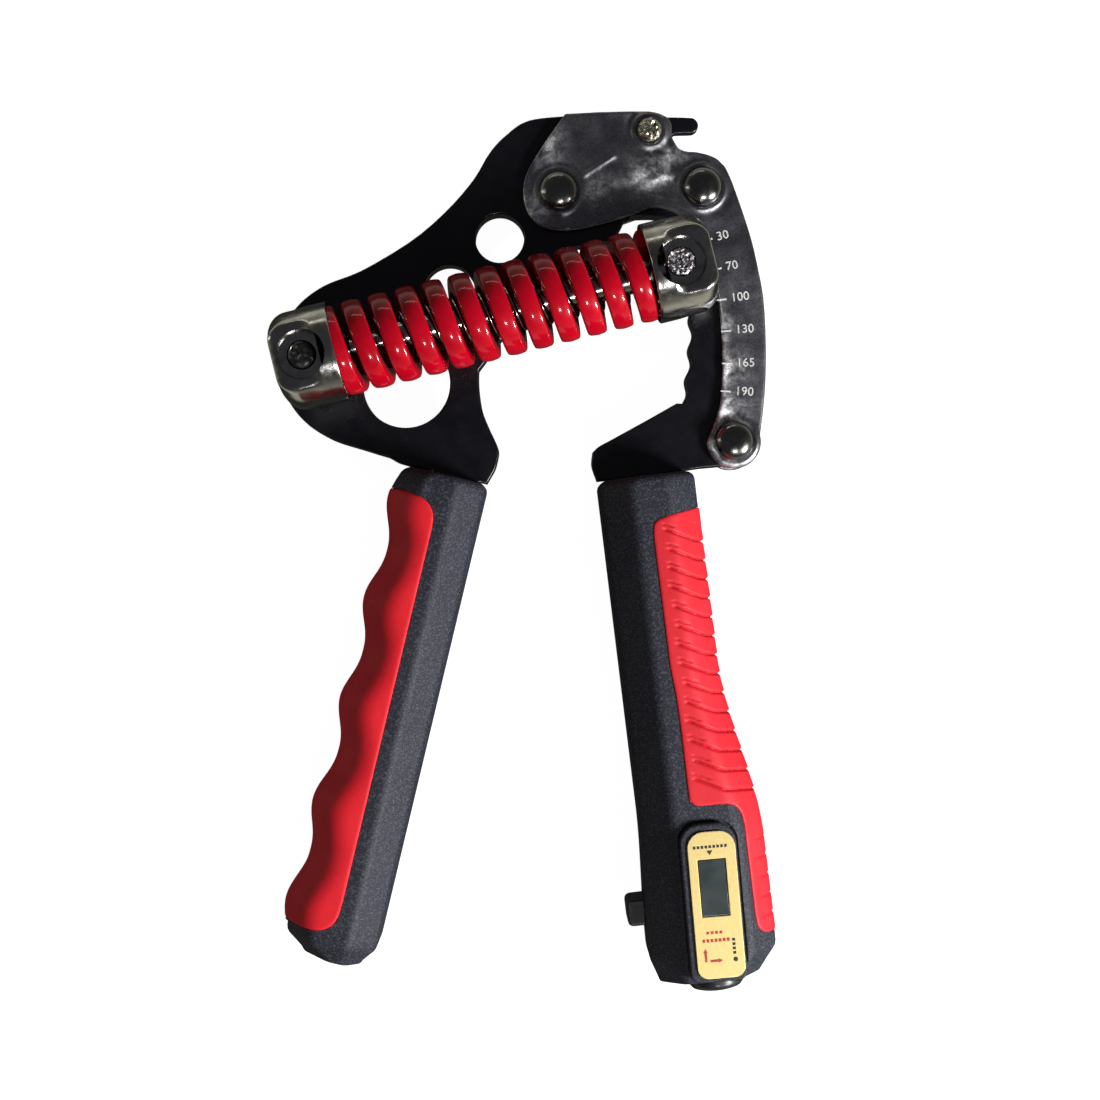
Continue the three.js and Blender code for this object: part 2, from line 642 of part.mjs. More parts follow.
function addLever(parent) {
  const [x, y] = LEVER_SCREW;
  const headTop = BRACKET_OUT + 0.1 + 2.2;
  const nutTop = -BRACKET_OUT - 0.1;
  const screwProfile = [
    [0, NUT_BACK + 0.6], [2, NUT_BACK + 0.6], [2, BRACKET_OUT + 0.1], [3.4, BRACKET_OUT + 0.1],
    [3.4, headTop - 1.2], [2.6, headTop - 0.3], [0, headTop],
  ];
  piece(parent, 'lever_screw', turned(screwProfile, 18).translate(x, y, 0), finish.zinc);
  const nut = plate(circle(x, y, 4, 6), NUT_BACK, nutTop, [circle(x, y, 2 + GAP, 16)]);
  piece(parent, 'lever_nut', nut, finish.zinc);
  const spacers = { front: [LEVER_HALF + 0.1, BRACKET_IN - 0.1], back: [0.1 - BRACKET_IN, -LEVER_HALF - 0.1] };
  for (const [side, [z0, z1]] of Object.entries(spacers)) {
    piece(parent, `lever_spacer_${side}`, ring(2.3, 3.6, z0, z1, 16).translate(x, y, 0), finish.zinc);
  }
  const lever = [
    ...arc(x, y, 3.8, 110, 300, 12),
    [x + 4, y - 1.2], [x + 6, y + 0.1], [x + 9.5, y + 0.2],
    ...arc(x + 9.5, y + 2.0, 1.8, -70, 80, 6),
    [x + 4, y + 3.9],
  ];
  piece(parent, 'stop_lever', plate(lever, -LEVER_HALF, LEVER_HALF, [circle(x, y, 2.3, 16)]),
    finish.blackSteel);
}

// ---------------------------------------------------------------- the spring strut

// A cup about X with a rounded end and a round collar. Its closed half has two flat cheeks,
// a cross hole for the pin and a shallow recess round the hole in front.
function springCap({ end, floor, mouth }) {
  const way = Math.sign(mouth - end);
  const profile = [
    [0, end], [CAP_R - 4.2, end], [CAP_R - 1.6, end + 0.9 * way], [CAP_R - 0.4, end + 2.6 * way],
    [CAP_R, end + 4.6 * way], [CAP_R, mouth - 0.5 * way], [CAP_R - 0.25, mouth],
    [CAP_BORE_R, mouth], [CAP_BORE_R, floor], [0, floor],
  ];
  if (way < 0) profile.reverse();
  const cup = alongX(turned(profile, 28));
  const from = Math.min(end - way, floor - 0.6 * way);
  const to = Math.max(end - way, floor - 0.6 * way);
  const front = box(from, to, -20, 20, CAP_FLAT, 20);
  const back = box(from, to, -20, 20, -20, -CAP_FLAT);
  const hole = rod(CAP_PIN_R + GAP, -20, 20, 20);
  const recess = rod(5.2, CAP_FLAT - 1.3, 20, 20);
  return cut(cup, front, back, hole, recess);
}

function addStrut(parent) {
  const left = placed(parent, STRUT_PIN, STRUT_Z, STRUT_ANGLE);
  const right = placed(left, [STRUT_LENGTH, 0], 0, 0);
  const nose = CAP_FLAT - 0.4;

  const behindArm = -STRUT_Z - BRACKET_IN;
  const leftPin = turned([
    [0, behindArm - 2.1], [5, behindArm - 2.1], [5, behindArm], [CAP_PIN_R, behindArm],
    [CAP_PIN_R, nose - 0.5], [CAP_PIN_R - 0.6, nose], [0, nose],
  ], 18);
  piece(left, 'left_cap_pin', leftPin, finish.zinc);
  piece(left, 'left_spring_cap', springCap(LEFT_CAP), finish.chrome);

  const rightPin = turned([
    [0, -STRUT_Z - ARM_HALF], [RACK_PIN_R, -STRUT_Z - ARM_HALF], [RACK_PIN_R, -CAP_FLAT - 0.3],
    [CAP_PIN_R, -CAP_FLAT - 0.3], [CAP_PIN_R, nose - 0.5], [CAP_PIN_R - 0.6, nose], [0, nose],
  ], 18);
  piece(right, 'right_cap_pin', rightPin, finish.zinc);
  piece(right, 'right_spring_cap', springCap(RIGHT_CAP), finish.chrome);

  const rightFloor = STRUT_LENGTH + RIGHT_CAP.floor;
  piece(left, 'guide_rod', alongX(rod(ROD_R, LEFT_CAP.floor + 0.2, rightFloor - ROD_FREE, 14)), finish.chrome);
  piece(left, 'guide_tube', alongX(ring(ROD_R + GAP, TUBE_R, TUBE_START, rightFloor - 0.2, 16)),
    finish.chrome);
  piece(left, 'rod_buffer', alongX(ring(ROD_R + 0.1, BUFFER.r, BUFFER.start, BUFFER.end, 16)),
    finish.blackPlastic);

  const springStart = LEFT_CAP.floor + 0.3 + SPRING_WIRE_R;
  const springEnd = rightFloor - 0.3 - SPRING_WIRE_R;
  piece(left, 'main_spring', wire(SPRING_R, SPRING_WIRE_R, springStart, springEnd, SPRING_TURNS, 12, 6),
    finish.springRed);
  piece(left, 'inner_spring', wire(INNER_SPRING_R, INNER_WIRE_R, LEFT_CAP.floor + 1,
    rightFloor - 1, INNER_TURNS, 9, 5), finish.chrome);
}

// ---------------------------------------------------------------- assembly

const tool = new THREE.Group();
const leftHandle = addLeftHandle(tool);
const rightHandle = addRightHandle(tool);
addCounter(tool);
addLeftArm(tool, leftHandle);
addRightArm(tool, rightHandle);
addBrackets(tool);
addRivets(tool);
addLever(tool);
addStrut(tool);

const extent = new THREE.Box3().setFromObject(tool);
const middle = extent.getCenter(new THREE.Vector3());
tool.position.set(-middle.x, -middle.y, -extent.min.z);

const handDynamometer = new THREE.Group();
handDynamometer.add(tool);

export default handDynamometer;
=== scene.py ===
# Looks of the hand strengthener: every visible piece, its materials, the light and the camera.
#
# Shapes are drawn in millimetres, in the frames of the CAD groups (the main pivot, each handle,
# the counter and the strut), and settle() moves them into the shared frame in metres.

import json
import math

import bpy
import bmesh
import numpy as np
from mathutils import Matrix, Vector, noise


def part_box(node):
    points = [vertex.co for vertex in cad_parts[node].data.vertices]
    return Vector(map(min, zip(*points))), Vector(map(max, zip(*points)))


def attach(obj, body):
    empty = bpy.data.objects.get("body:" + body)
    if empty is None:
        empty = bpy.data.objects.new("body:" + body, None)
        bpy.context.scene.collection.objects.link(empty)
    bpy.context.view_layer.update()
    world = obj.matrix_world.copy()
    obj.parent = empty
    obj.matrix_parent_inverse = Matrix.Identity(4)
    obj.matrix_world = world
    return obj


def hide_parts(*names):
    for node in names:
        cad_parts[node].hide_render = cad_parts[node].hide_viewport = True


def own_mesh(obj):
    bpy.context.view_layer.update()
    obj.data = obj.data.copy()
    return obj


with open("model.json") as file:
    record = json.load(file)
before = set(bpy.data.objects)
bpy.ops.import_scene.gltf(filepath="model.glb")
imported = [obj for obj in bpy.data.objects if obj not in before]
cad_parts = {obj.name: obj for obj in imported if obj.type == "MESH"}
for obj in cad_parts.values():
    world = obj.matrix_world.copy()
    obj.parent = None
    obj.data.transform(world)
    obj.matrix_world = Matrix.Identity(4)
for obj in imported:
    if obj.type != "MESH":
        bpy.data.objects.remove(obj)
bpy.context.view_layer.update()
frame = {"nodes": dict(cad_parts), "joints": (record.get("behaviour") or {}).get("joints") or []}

# ------------------------------------------------------------------ sizes, in millimetres

MM = 0.001
GAP = 0.3
ARM_HALF = 3.0
BRACKET_OUT = 4.9
SEAT = BRACKET_OUT + 0.1  # where the heads on the front bracket sit
HANDLE_MID = 3.0
HANDLE_HALF = 12.5
SIDE_HALF = 7.0
FRONT_Z = HANDLE_MID + HANDLE_HALF
BACK_Z = HANDLE_MID - HANDLE_HALF
STRUT_HINGE = (-55.3, -38.7)
STRUT_LENGTH = 83.7
STRUT_Z = 14.5
CAP_R = 11.0
CAP_FLAT = 8.6
PIN_R = 2.9
PIVOT = (0.0, 0.0)
UPPER_RIVET = (32.2, 0.9)
LOWER_RIVET = (39.3, -56.1)
LEVER_SCREW = (20.3, 13.6)
PLUNGER = {"s": 96.2, "half_h": 3.1, "half_d": 4.0, "out": -5.2, "length": 11.0, "travel": 3.5}
KNOB = {"t": 12.8, "z": 6.0, "r": 6.1, "floor": 104.5, "out": 114.6, "travel": 2.0}
SCREW_ROWS = (22, 52)


def at(x, y, z=0.0, turn=0.0, axis="Z"):
    """A turn in degrees about an axis, then a move."""
    return Matrix.Translation((x, y, z)) @ Matrix.Rotation(math.radians(turn), 4, axis)


SQUEEZE = next(joint for joint in frame["joints"] if joint["name"] == "squeeze")
TOOL = Matrix.Translation(SQUEEZE["pos_m"]) @ Matrix.Scale(MM, 4)
LEFT_HANDLE = TOOL @ at(-15.9, -66.0, turn=-13.4)
RIGHT_HANDLE = TOOL @ at(8.6, -65.4, turn=7.0)
COUNTER = TOOL @ at(33.3, -157.0, turn=5.0)
STRUT = TOOL @ at(*STRUT_HINGE, STRUT_Z, 13.8)
STRUT_END = STRUT @ at(STRUT_LENGTH, 0)

# ------------------------------------------------------------------ small geometry helpers


def smoothstep(x, low, high):
    u = min(max((x - low) / (high - low), 0.0), 1.0)
    return u * u * (3 - 2 * u)


def mix(a, b, share):
    return a + (b - a) * share


def arc(cx, cy, r, start, end, steps):
    turn = [math.radians(mix(start, end, i / steps)) for i in range(steps + 1)]
    return [(cx + r * math.cos(a), cy + r * math.sin(a)) for a in turn]


def circle(cx, cy, r, steps=48):
    return arc(cx, cy, r, 0, 360 - 360 / steps, steps - 1)


def rounded(points, radius, steps=5, closed=True):
    """A polyline with each corner cut back by radius and bridged by a smooth curve."""
    made = []
    count = len(points)
    for i, point in enumerate(points):
        corner = Vector(point)
        if not closed and i in (0, count - 1):
            made.append(corner)
            continue
        before = Vector(points[i - 1]) - corner
        after = Vector(points[(i + 1) % count]) - corner
        cut = min(radius, 0.48 * before.length, 0.48 * after.length)
        start = corner + before.normalized() * cut
        end = corner + after.normalized() * cut
        for k in range(steps + 1):
            u = k / steps
            made.append(start * (1 - u) ** 2 + corner * (2 * u * (1 - u)) + end * u * u)
    return made


def linked(name, mesh):
    piece = bpy.data.objects.new(name, mesh)
    bpy.context.collection.objects.link(piece)
    return piece


def from_faces(name, points, faces):
    mesh = bpy.data.meshes.new(name)
    mesh.from_pydata([tuple(p) for p in points], [], faces)
    mesh.update()
    return linked(name, mesh)


def lofted(name, rings, closed_path=False):
    """A closed solid through rings of equal length; flat caps end it unless the path closes."""
    size = len(rings[0])
    points = [p for ring in rings for p in ring]
    faces = []
    spans = len(rings) if closed_path else len(rings) - 1
    for i in range(spans):
        a, b = i * size, ((i + 1) % len(rings)) * size
        for k in range(size):
            n = (k + 1) % size
            faces.append((a + k, a + n, b + n, b + k))
    if not closed_path:
        faces.append(tuple(reversed(range(size))))
        faces.append(tuple(range(len(points) - size, len(points))))
    piece = from_faces(name, points, faces)
    face_out(piece)
    return piece


def face_out(piece, weld=0.0):
    """Joins points closer than weld and turns every face outwards."""
    work = bmesh.new()
    work.from_mesh(piece.data)
    if weld:
        bmesh.ops.remove_doubles(work, verts=work.verts, dist=weld)
    bmesh.ops.recalc_face_normals(work, faces=work.faces)
    work.to_mesh(piece.data)
    work.free()


def lathe(name, profile, segments=72, hollow=False):
    """Turns [radius, height] points about Z. A hollow profile closes on itself."""
    rings = []
    for r, h in profile:
        r = max(r, 0.02)
        angles = [2 * math.pi * k / segments for k in range(segments)]
        rings.append([(r * math.cos(a), r * math.sin(a), h) for a in angles])
    return lofted(name, rings, closed_path=hollow)


def moved(piece, matrix):
    piece.data.transform(matrix)
    return piece


def about_x(piece):
    return moved(piece, at(0, 0, turn=90, axis="Y"))


def prism(outline, z0, z1):
    """A temporary solid between two heights, for cutting."""
    low = [(x, y, z0) for x, y in outline]
    high = [(x, y, z1) for x, y in outline]
    return lofted("cutter", [low, high])


def block(x0, x1, y0, y1, z0, z1):
    """A temporary box, for cutting."""
    return prism([(x0, y0), (x1, y0), (x1, y1), (x0, y1)], z0, z1)


def cylinder(r, z0, z1, segments=64):
    """A temporary round rod about Z, for cutting."""
    return lathe("cutter", [(0, z0), (r, z0), (r, z1), (0, z1)], segments)


def evaluated_mesh(piece):
    """The mesh that a curve, a text or a piece's modifiers make."""
    bpy.context.view_layer.update()
    depsgraph = bpy.context.evaluated_depsgraph_get()
    return bpy.data.meshes.new_from_object(piece.evaluated_get(depsgraph))


def applied(piece):
    """Turns a piece's modifiers into its own mesh."""
    mesh = evaluated_mesh(piece)
    piece.modifiers.clear()
    piece.data = mesh
    return piece


def from_curve(name, curve):
    """A piece from a curve or a text, which is then removed."""
    drawn = linked(name + "_curve", curve)
    mesh = evaluated_mesh(drawn)
    bpy.data.objects.remove(drawn)
    return linked(name, mesh)


def carved(piece, *tools):
    """Cuts temporary solids away from a piece and removes them."""
    for tool in tools:
        boolean = piece.modifiers.new("boolean", "BOOLEAN")
        boolean.operation = "DIFFERENCE"
        boolean.solver = "EXACT"
        boolean.object = tool
        applied(piece)
        bpy.data.objects.remove(tool)
    return piece


def raised(piece, height):
    """Lifts every point of a piece by a function of its place."""
    for vertex in piece.data.vertices:
        vertex.co.z += height(vertex.co)
    piece.data.update()
    return piece


def settle(piece, place, body, material, nodes=(), sharp=35):
    """Moves a piece from its group's millimetres into the shared frame, gives it its material and shading,
    parents it to its body and hides the CAD nodes that it replaces.
    """
    mesh = piece.data
    mesh.transform(place)
    mesh.materials.clear()
    mesh.materials.append(material)
    mesh.shade_smooth()
    mesh.set_sharp_from_angle(angle=math.radians(sharp))
    weighted = piece.modifiers.new("normals", "WEIGHTED_NORMAL")
    weighted.keep_sharp = True
    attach(piece, body)
    if nodes:
        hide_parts(*nodes)
    return piece


# ------------------------------------------------------------------ flat plates from the CAD


def plate_loops(node):
    """The outlines of a flat CAD plate, in millimetres about the main pivot."""
    work = bmesh.new()
    work.from_mesh(frame["nodes"][node].data)
    bmesh.ops.transform(work, matrix=TOOL.inverted(), verts=work.verts)
    bmesh.ops.remove_doubles(work, verts=work.verts, dist=0.001)
    top = max(v.co.z for v in work.verts)
    flat = {f for f in work.faces if all(abs(v.co.z - top) < 0.01 for v in f.verts)}
    after = {}
    for corner in (loop for face in flat for loop in face.loops):
        if corner.link_loop_radial_next.face not in flat:
            after[corner.vert] = corner.link_loop_next.vert
    loops = []
    while after:
        first, vert = after.popitem()
        loop = [first.co.xy]
        while vert is not first:
            loop.append(vert.co.xy)
            vert = after.pop(vert)
        loops.append([p.copy() for p in loop])
    work.free()
    return loops


CORNER = math.radians(29)  # a sharper turn than this stays a corner
FACET = math.radians(4)  # roughly what a round stretch turns from point to point


def smooth_point(here, there, leaving, reaching, u):
    """A point at share u of the curve between two points with the given directions at its ends."""
    return (here * (2 * u**3 - 3 * u**2 + 1) + leaving * (u**3 - 2 * u**2 + u)
            + there * (3 * u**2 - 2 * u**3) + reaching * (u**3 - u**2))


def refined(loop):
    """Puts extra points on the round stretches of an outline and keeps its corners."""
    count = len(loop)
    steps = [loop[(i + 1) % count] - loop[i] for i in range(count)]
    turns = [steps[i - 1].angle(steps[i]) for i in range(count)]
    made = []
    for i in range(count):
        step = steps[i]
        ends = []
        for k in (i, (i + 1) % count):
            around = loop[(k + 1) % count] - loop[k - 1]
            ends.append(step if turns[k] > CORNER else around.normalized() * step.length)
        round_turn = max(t for t in (turns[i], turns[(i + 1) % count], 0) if t <= CORNER)
        parts = max(1, min(6, math.ceil(round_turn / FACET)))
        for k in range(parts):
            made.append(smooth_point(loop[i], loop[(i + 1) % count], *ends, k / parts))
    return made


def flat_piece(name, loops, z0, z1, edge):
    """A flat plate with rounded edges, drawn as a filled curve and turned into a mesh."""
    curve = bpy.data.curves.new(name, "CURVE")
    curve.dimensions = "2D"
    curve.fill_mode = "BOTH"
    curve.extrude = (z1 - z0) / 2 - edge
    curve.bevel_depth = edge
    curve.bevel_resolution = 2
    curve.offset = -edge
    for loop in loops:
        line = curve.splines.new("POLY")
        line.points.add(len(loop) - 1)
        for point, (x, y) in zip(line.points, loop):
            point.co = (x, y, 0, 1)
        line.use_cyclic_u = True
    piece = from_curve(name, curve)
    face_out(piece, weld=0.002)
    return moved(piece, at(0, 0, (z0 + z1) / 2))


def replated(node, edge):
    """A flat plate with the outline and thickness of a CAD node; also the plate's two heights."""
    inverse = TOOL.inverted()
    z0, z1 = [(inverse @ corner).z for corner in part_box(node)]
    loops = [refined(loop) for loop in plate_loops(node)]
    return flat_piece(f"{node}_plate", loops, z0, z1, edge), z0, z1


def add_plate(node, body, material, edge):
    plate, _, _ = replated(node, edge)
    settle(plate, TOOL, body, material, [node])


# ------------------------------------------------------------------ materials


def add_node(tree, kind, inputs=(), **settings):
    """A shader node whose inputs are given values or linked to other nodes' outputs."""
    node = tree.nodes.new("ShaderNode" + kind)
    for key, value in settings.items():
        setattr(node, key, value)
    for key, value in dict(inputs).items():
        if isinstance(value, bpy.types.NodeSocket):
            tree.links.new(value, node.inputs[key])
        else:
            node.inputs[key].default_value = value
    return node


def shade(colour, factor, lift=0.0):
    return tuple(min(1.0, c * factor + lift) for c in colour)


class Look:
    """A principled material whose textures are laid out in millimetres on the object."""

    def __init__(self, name, **sockets):
        self.material = bpy.data.materials.new(name)
        self.material.use_nodes = True
        self.tree = self.material.node_tree
        self.shader = self.tree.nodes["Principled BSDF"]
        for socket, value in sockets.items():
            self.shader.inputs[socket.replace("_", " ")].default_value = value
        self.place = self.add("TexCoord").outputs["Object"]
        self.relief = None

    def add(self, kind, inputs=(), **settings):
        return add_node(self.tree, kind, inputs, **settings)

    def drive(self, socket, output):
        self.tree.links.new(output, self.shader.inputs[socket])
        return output

    def scaled(self, y=1.0, turn=0.0):
        """Object coordinates in millimetres, squeezed along Y by a factor after a turn about Z."""
        turned = {"Vector": self.place, "Rotation": (0, 0, math.radians(turn))}
        whole = self.add("Mapping", turned, vector_type="POINT").outputs[0]
        return self.add("Mapping", {"Vector": whole, "Scale": (1 / MM, y / MM, 1 / MM)}).outputs[0]

    def noise(self, size, detail=3.0, distortion=0.0, vector=None):
        """Noise with features about size millimetres across, from 0 to 1."""
        inputs = {"Vector": vector or self.scaled(), "Scale": 1 / size, "Detail": detail,
                  "Distortion": distortion}
        return self.add("TexNoise", inputs).outputs["Fac"]

    def ranged(self, value, low, high, start=0.3, end=0.7, **settings):
        inputs = {"Value": value, "From Min": start, "From Max": end, "To Min": low, "To Max": high}
        return self.add("MapRange", inputs, **settings).outputs["Result"]

    def calculated(self, operation, first, second):
        return self.add("Math", {0: first, 1: second}, operation=operation).outputs[0]

    def blended(self, factor, first, second):
        """Two colours, or a colour's output and a colour, mixed by a factor."""
        first, second = [(*c, 1) if isinstance(c, tuple) else c for c in (first, second)]
        inputs = {"Factor": factor, 6: first, 7: second}
        return self.add("Mix", inputs, data_type="RGBA").outputs[2]

    def clouded(self, texture, first, second, start=0.3, end=0.7):
        """Colours the material from first to second in clouds of noise (size, detail, distortion)."""
        share = self.ranged(self.noise(*texture), 0, 1, start, end)
        return self.drive("Base Color", self.blended(share, first, second))

    def near(self, x, y, reach):
        """1 at a point of the pivot's frame, in millimetres, and 0 from reach outwards."""
        centre = (TOOL @ Vector((x, y, 0))).xy
        flat = self.add("VectorMath", {0: self.place, 1: (1, 1, 0)}, operation="MULTIPLY").outputs[0]
        away = self.add("VectorMath", {0: flat, 1: (*centre, 0)}, operation="DISTANCE").outputs["Value"]
        return self.ranged(away, 1.0, 0.0, 0.0, reach * MM, interpolation_type="SMOOTHSTEP")

    def bump(self, height, depth, strength):
        """Adds relief of about depth millimetres."""
        inputs = {"Height": height, "Distance": depth * MM, "Strength": strength}
        if self.relief:
            inputs["Normal"] = self.relief
        self.relief = self.drive("Normal", self.add("Bump", inputs).outputs["Normal"])

    def finished(self, rough, *grains):
        """Adds roughness as (size, detail, lowest, highest) of noise, and reliefs as (size, detail,
        depth, strength)."""
        if rough:
            size, detail, low, high = rough
            self.drive("Roughness", self.ranged(self.noise(size, detail), low, high))
        for size, detail, depth, strength in grains:
            self.bump(self.noise(size, detail), depth, strength)
        return self.material


def black_lacquer():
    look = Look("black_lacquer")
    look.clouded((9.0,), (0.003, 0.003, 0.005), (0.006, 0.006, 0.009))
    return look.finished((3.0, 5, 0.24, 0.34), (0.35, 3, 0.02, 0.5))


# Places on the brackets painted near-white as a highlight, standing in for glare on the dark plating: x, y
# and reach about the pivot.
GLARE_SPOTS = [(20.5, 3.5, 8.5), (25.5, 8.0, 5.0), (9.0, 0.5, 6.0), (-6.5, -4.5, 6.0), (35.5, -30.0, 7.0),
              (37.0, -40.0, 8.5), (37.5, -49.0, 8.5), (36.5, -58.0, 8.0), (-3.5, 11.0, 8.0)]


def dark_nickel():
    look = Look("dark_nickel", Metallic=1.0)
    base = look.clouded((16.0, 2, 0.3), (0.20, 0.20, 0.22), (0.36, 0.36, 0.39), 0.35)
    wear_and_glare = 0.0
    for spot in GLARE_SPOTS:
        wear_and_glare = look.calculated("MAXIMUM", wear_and_glare, look.near(*spot))
    patchy_glare = look.calculated("MULTIPLY", wear_and_glare, look.ranged(look.noise(2.2, 5, 0.6), 0.1, 1, 0.36, 0.66))
    # painted highlight: near-white patches at the glare spots, broken up by noise
    glared = look.blended(patchy_glare, base, (0.97, 0.97, 0.99))
    pitted = look.ranged(look.noise(0.5, 5), 0, 0.7, 0.42, 0.72)
    look.drive("Base Color", look.blended(pitted, glared, (0.10, 0.10, 0.11)))
    matt = look.ranged(look.noise(5.0, 5, 0.3), 0.30, 0.44)
    look.drive("Roughness", look.calculated("ADD", matt, look.calculated("MULTIPLY", patchy_glare, 0.30)))
    look.bump(look.noise(4.5, 2, 0.5), 0.24, 0.5)
    return look.finished(None, (0.4, 4, 0.02, 0.6))


def rivet_nickel():
    look = Look("rivet_nickel", Base_Color=(0.20, 0.195, 0.19, 1), Metallic=1.0)
    return look.finished((1.5, 4, 0.14, 0.26), (1.6, 3, 0.06, 0.5), (0.3, 3, 0.01, 0.5))


def zinc(name, colour, second, roughness, relief):
    look = Look(name, Metallic=1.0)
    look.clouded((1.1, 5), colour, second)
    return look.finished((0.9, 4, roughness * 0.6, roughness * 1.3), (0.55, 4, relief, 0.8))


def dark_chrome():
    look = Look("dark_chrome", Metallic=1.0)
    look.clouded((5.0, 4, 0.5), (0.31, 0.305, 0.285), (0.50, 0.49, 0.46))
    return look.finished((1.2, 5, 0.12, 0.24), (2.6, 3, 0.05, 0.4), (0.4, 3, 0.012, 0.5))


def bright_chrome():
    look = Look("bright_chrome", Base_Color=(0.62, 0.62, 0.63, 1), Metallic=1.0)
    return look.finished((0.8, 4, 0.08, 0.25), (0.6, 3, 0.02, 0.4))


def red_lacquer():
    look = Look("red_lacquer", Specular_IOR_Level=0.08, Coat_Weight=0.6, Coat_Roughness=0.05)
    look.clouded((6.0, 4), (0.42, 0.0010, 0.010), (0.56, 0.0016, 0.015))
    return look.finished((1.5, 4, 0.22, 0.36), (1.8, 2, 0.05, 0.4))


def charcoal():
    """Moulded plastic with a spark-eroded grain."""
    look = Look("charcoal_grain", Specular_IOR_Level=0.35)
    tone = look.clouded((14.0, 2), (0.008, 0.0095, 0.017), (0.013, 0.015, 0.024))
    dots = look.ranged(look.noise(0.40, 4), 0, 1, 0.48, 0.68)
    look.drive("Base Color", look.blended(dots, tone, (0.066, 0.069, 0.096)))
    look.finished((0.3, 3, 0.50, 0.74), (0.28, 3, 0.06, 0.7))
    cells = look.add("TexVoronoi", {"Vector": look.scaled(), "Scale": 2.0})
    look.bump(cells.outputs["Distance"], 0.03, 0.4)
    return look.material


def soft_red(name, low, high, roughness):
    """Rubber, paler in rubbed specks, with painted shade darkening its hollows and grooves."""
    look = Look(name, Specular_IOR_Level=0.3)
    mottled = look.clouded((12.0, 4), low, high)
    rubbed = look.ranged(look.noise(0.5, 4), 0, 0.3, 0.45, 0.8)
    wear_and_glare = look.blended(rubbed, mottled, shade(high, 1.25, 0.008))
    # painted shade: where the surface is concave, its colour is darkened to 0.3 of the low red
    hollow = look.ranged(look.add("NewGeometry").outputs["Pointiness"], 0.85, 0, 0.40, 0.49)
    look.drive("Base Color", look.blended(hollow, wear_and_glare, shade(low, 0.3)))
    rough = (0.4, 4, roughness - 0.1, roughness + 0.1)
    return look.finished(rough, (0.32, 3, 0.04, 0.7), (2.5, 2, 0.06, 0.3))


def smooth_plastic(name, colour, roughness):
    look = Look(name)
    look.clouded((4.0, 4), colour, shade(colour, 1.7, 0.002))
    return look.finished((0.7, 4, roughness - 0.08, roughness + 0.1), (0.5, 3, 0.02, 0.5))


def gold_foil():
    look = Look("gold_foil", Metallic=0.25)
    brushed = (0.25, 4, 0, look.scaled(y=0.2, turn=-12))
    look.clouded(brushed, (0.82, 0.61, 0.22), (0.90, 0.72, 0.30))
    return look.finished((0.5, 5, 0.30, 0.52), (0.16, 4, 0.02, 0.6))


def display_glass():
    look = Look("display_glass", Coat_Weight=0.5, Coat_Roughness=0.04)
    look.clouded((7.0, 2), (0.035, 0.045, 0.045), (0.070, 0.082, 0.080))
    return look.finished((2.0, 3, 0.08, 0.2))


def ink(name, colour):
    look = Look(name, Roughness=0.6)
    look.clouded((0.3, 3), colour, shade(colour, 1.3, 0.02))
    return look.finished(None, (0.2, 2, 0.01, 0.5))


BLACK_LACQUER = black_lacquer()
DARK_NICKEL = dark_nickel()
RIVET_NICKEL = rivet_nickel()
ZINC = zinc("zinc", (0.46, 0.42, 0.34), (0.30, 0.27, 0.20), 0.42, 0.05)
AGED_BRASS = zinc("aged_brass", (0.60, 0.56, 0.44), (0.26, 0.24, 0.19), 0.36, 0.18)
CAST_SILVER = zinc("cast_silver", (0.52, 0.50, 0.52), (0.12, 0.11, 0.12), 0.34, 0.30)
SMOKED_PIN = zinc("smoked_pin", (0.10, 0.10, 0.10), (0.045, 0.044, 0.042), 0.42, 0.12)
DARK_CHROME = dark_chrome()
BRIGHT_CHROME = bright_chrome()
RED_LACQUER = red_lacquer()
CHARCOAL = charcoal()
# Two copies of the one pad rubber: the left copy is painted lighter than the right, standing in for the
# weaker light that falls on the left pad.
LEFT_PAD_RED_PAINTED_LIGHTER = soft_red("left_pad_red_painted_lighter", (0.80, 0.008, 0.018), (0.92, 0.014, 0.028), 0.58)
RIGHT_RED = soft_red("right_pad_red", (0.68, 0.013, 0.024), (0.78, 0.020, 0.033), 0.55)
BLACK_PLASTIC = smooth_plastic("black_plastic", (0.010, 0.010, 0.012), 0.34)
GOLD = gold_foil()
GLASS = display_glass()
BLACK_INK = ink("black_ink", (0.006, 0.006, 0.006))
RED_INK = ink("red_ink", (0.40, 0.02, 0.012))
WHITE_INK = ink("stamped_white", (0.62, 0.62, 0.60))
BOARD = smooth_plastic("board_green", (0.02, 0.13, 0.05), 0.4)

# ------------------------------------------------------------------ arms, lever and brackets


def add_arms():
    for node, body in (("left_arm", "moving_side"), ("right_arm", "frame_side"), ("stop_lever", "lever")):
        add_plate(node, body, BLACK_LACQUER, 0.4)


# Round lumps (+) and dents (-) of the front bracket: centre, radius, half width and height.
RINGS = [(*rivet, *ring) for rivet in (PIVOT, UPPER_RIVET, LOWER_RIVET)
         for ring in ((5.0, 0.55, 0.28), (6.4, 0.9, -0.16))]
RINGS += [(*LEVER_SCREW, 3.5, 0.6, 0.30), (*LEVER_SCREW, 4.9, 0.9, -0.30)]
RINGS += [(43, -20, 0, 6, 0.20), (9, 8, 0, 6, 0.18)]

# Its straight creases: both ends about the lever screw, half width and height.
CREASES = [((2.2, -4), (3.2, -9), 1.2, 0.34), ((4.6, -5), (5.2, -9), 1.1, -0.42),
           ((-0.5, -11.5), (6.2, -9.5), 0.9, 0.24), ((-7.0, -13.6), (3.5, -12.3), 2.2, -0.46),
           ((-14.5, -10), (-8.0, -5.8), 0.6, 0.34), ((-27.3, -20.1), (-24.5, -18.2), 0.5, 0.12)]


def bell(away, width):
    return math.exp(-((away / width) ** 2))


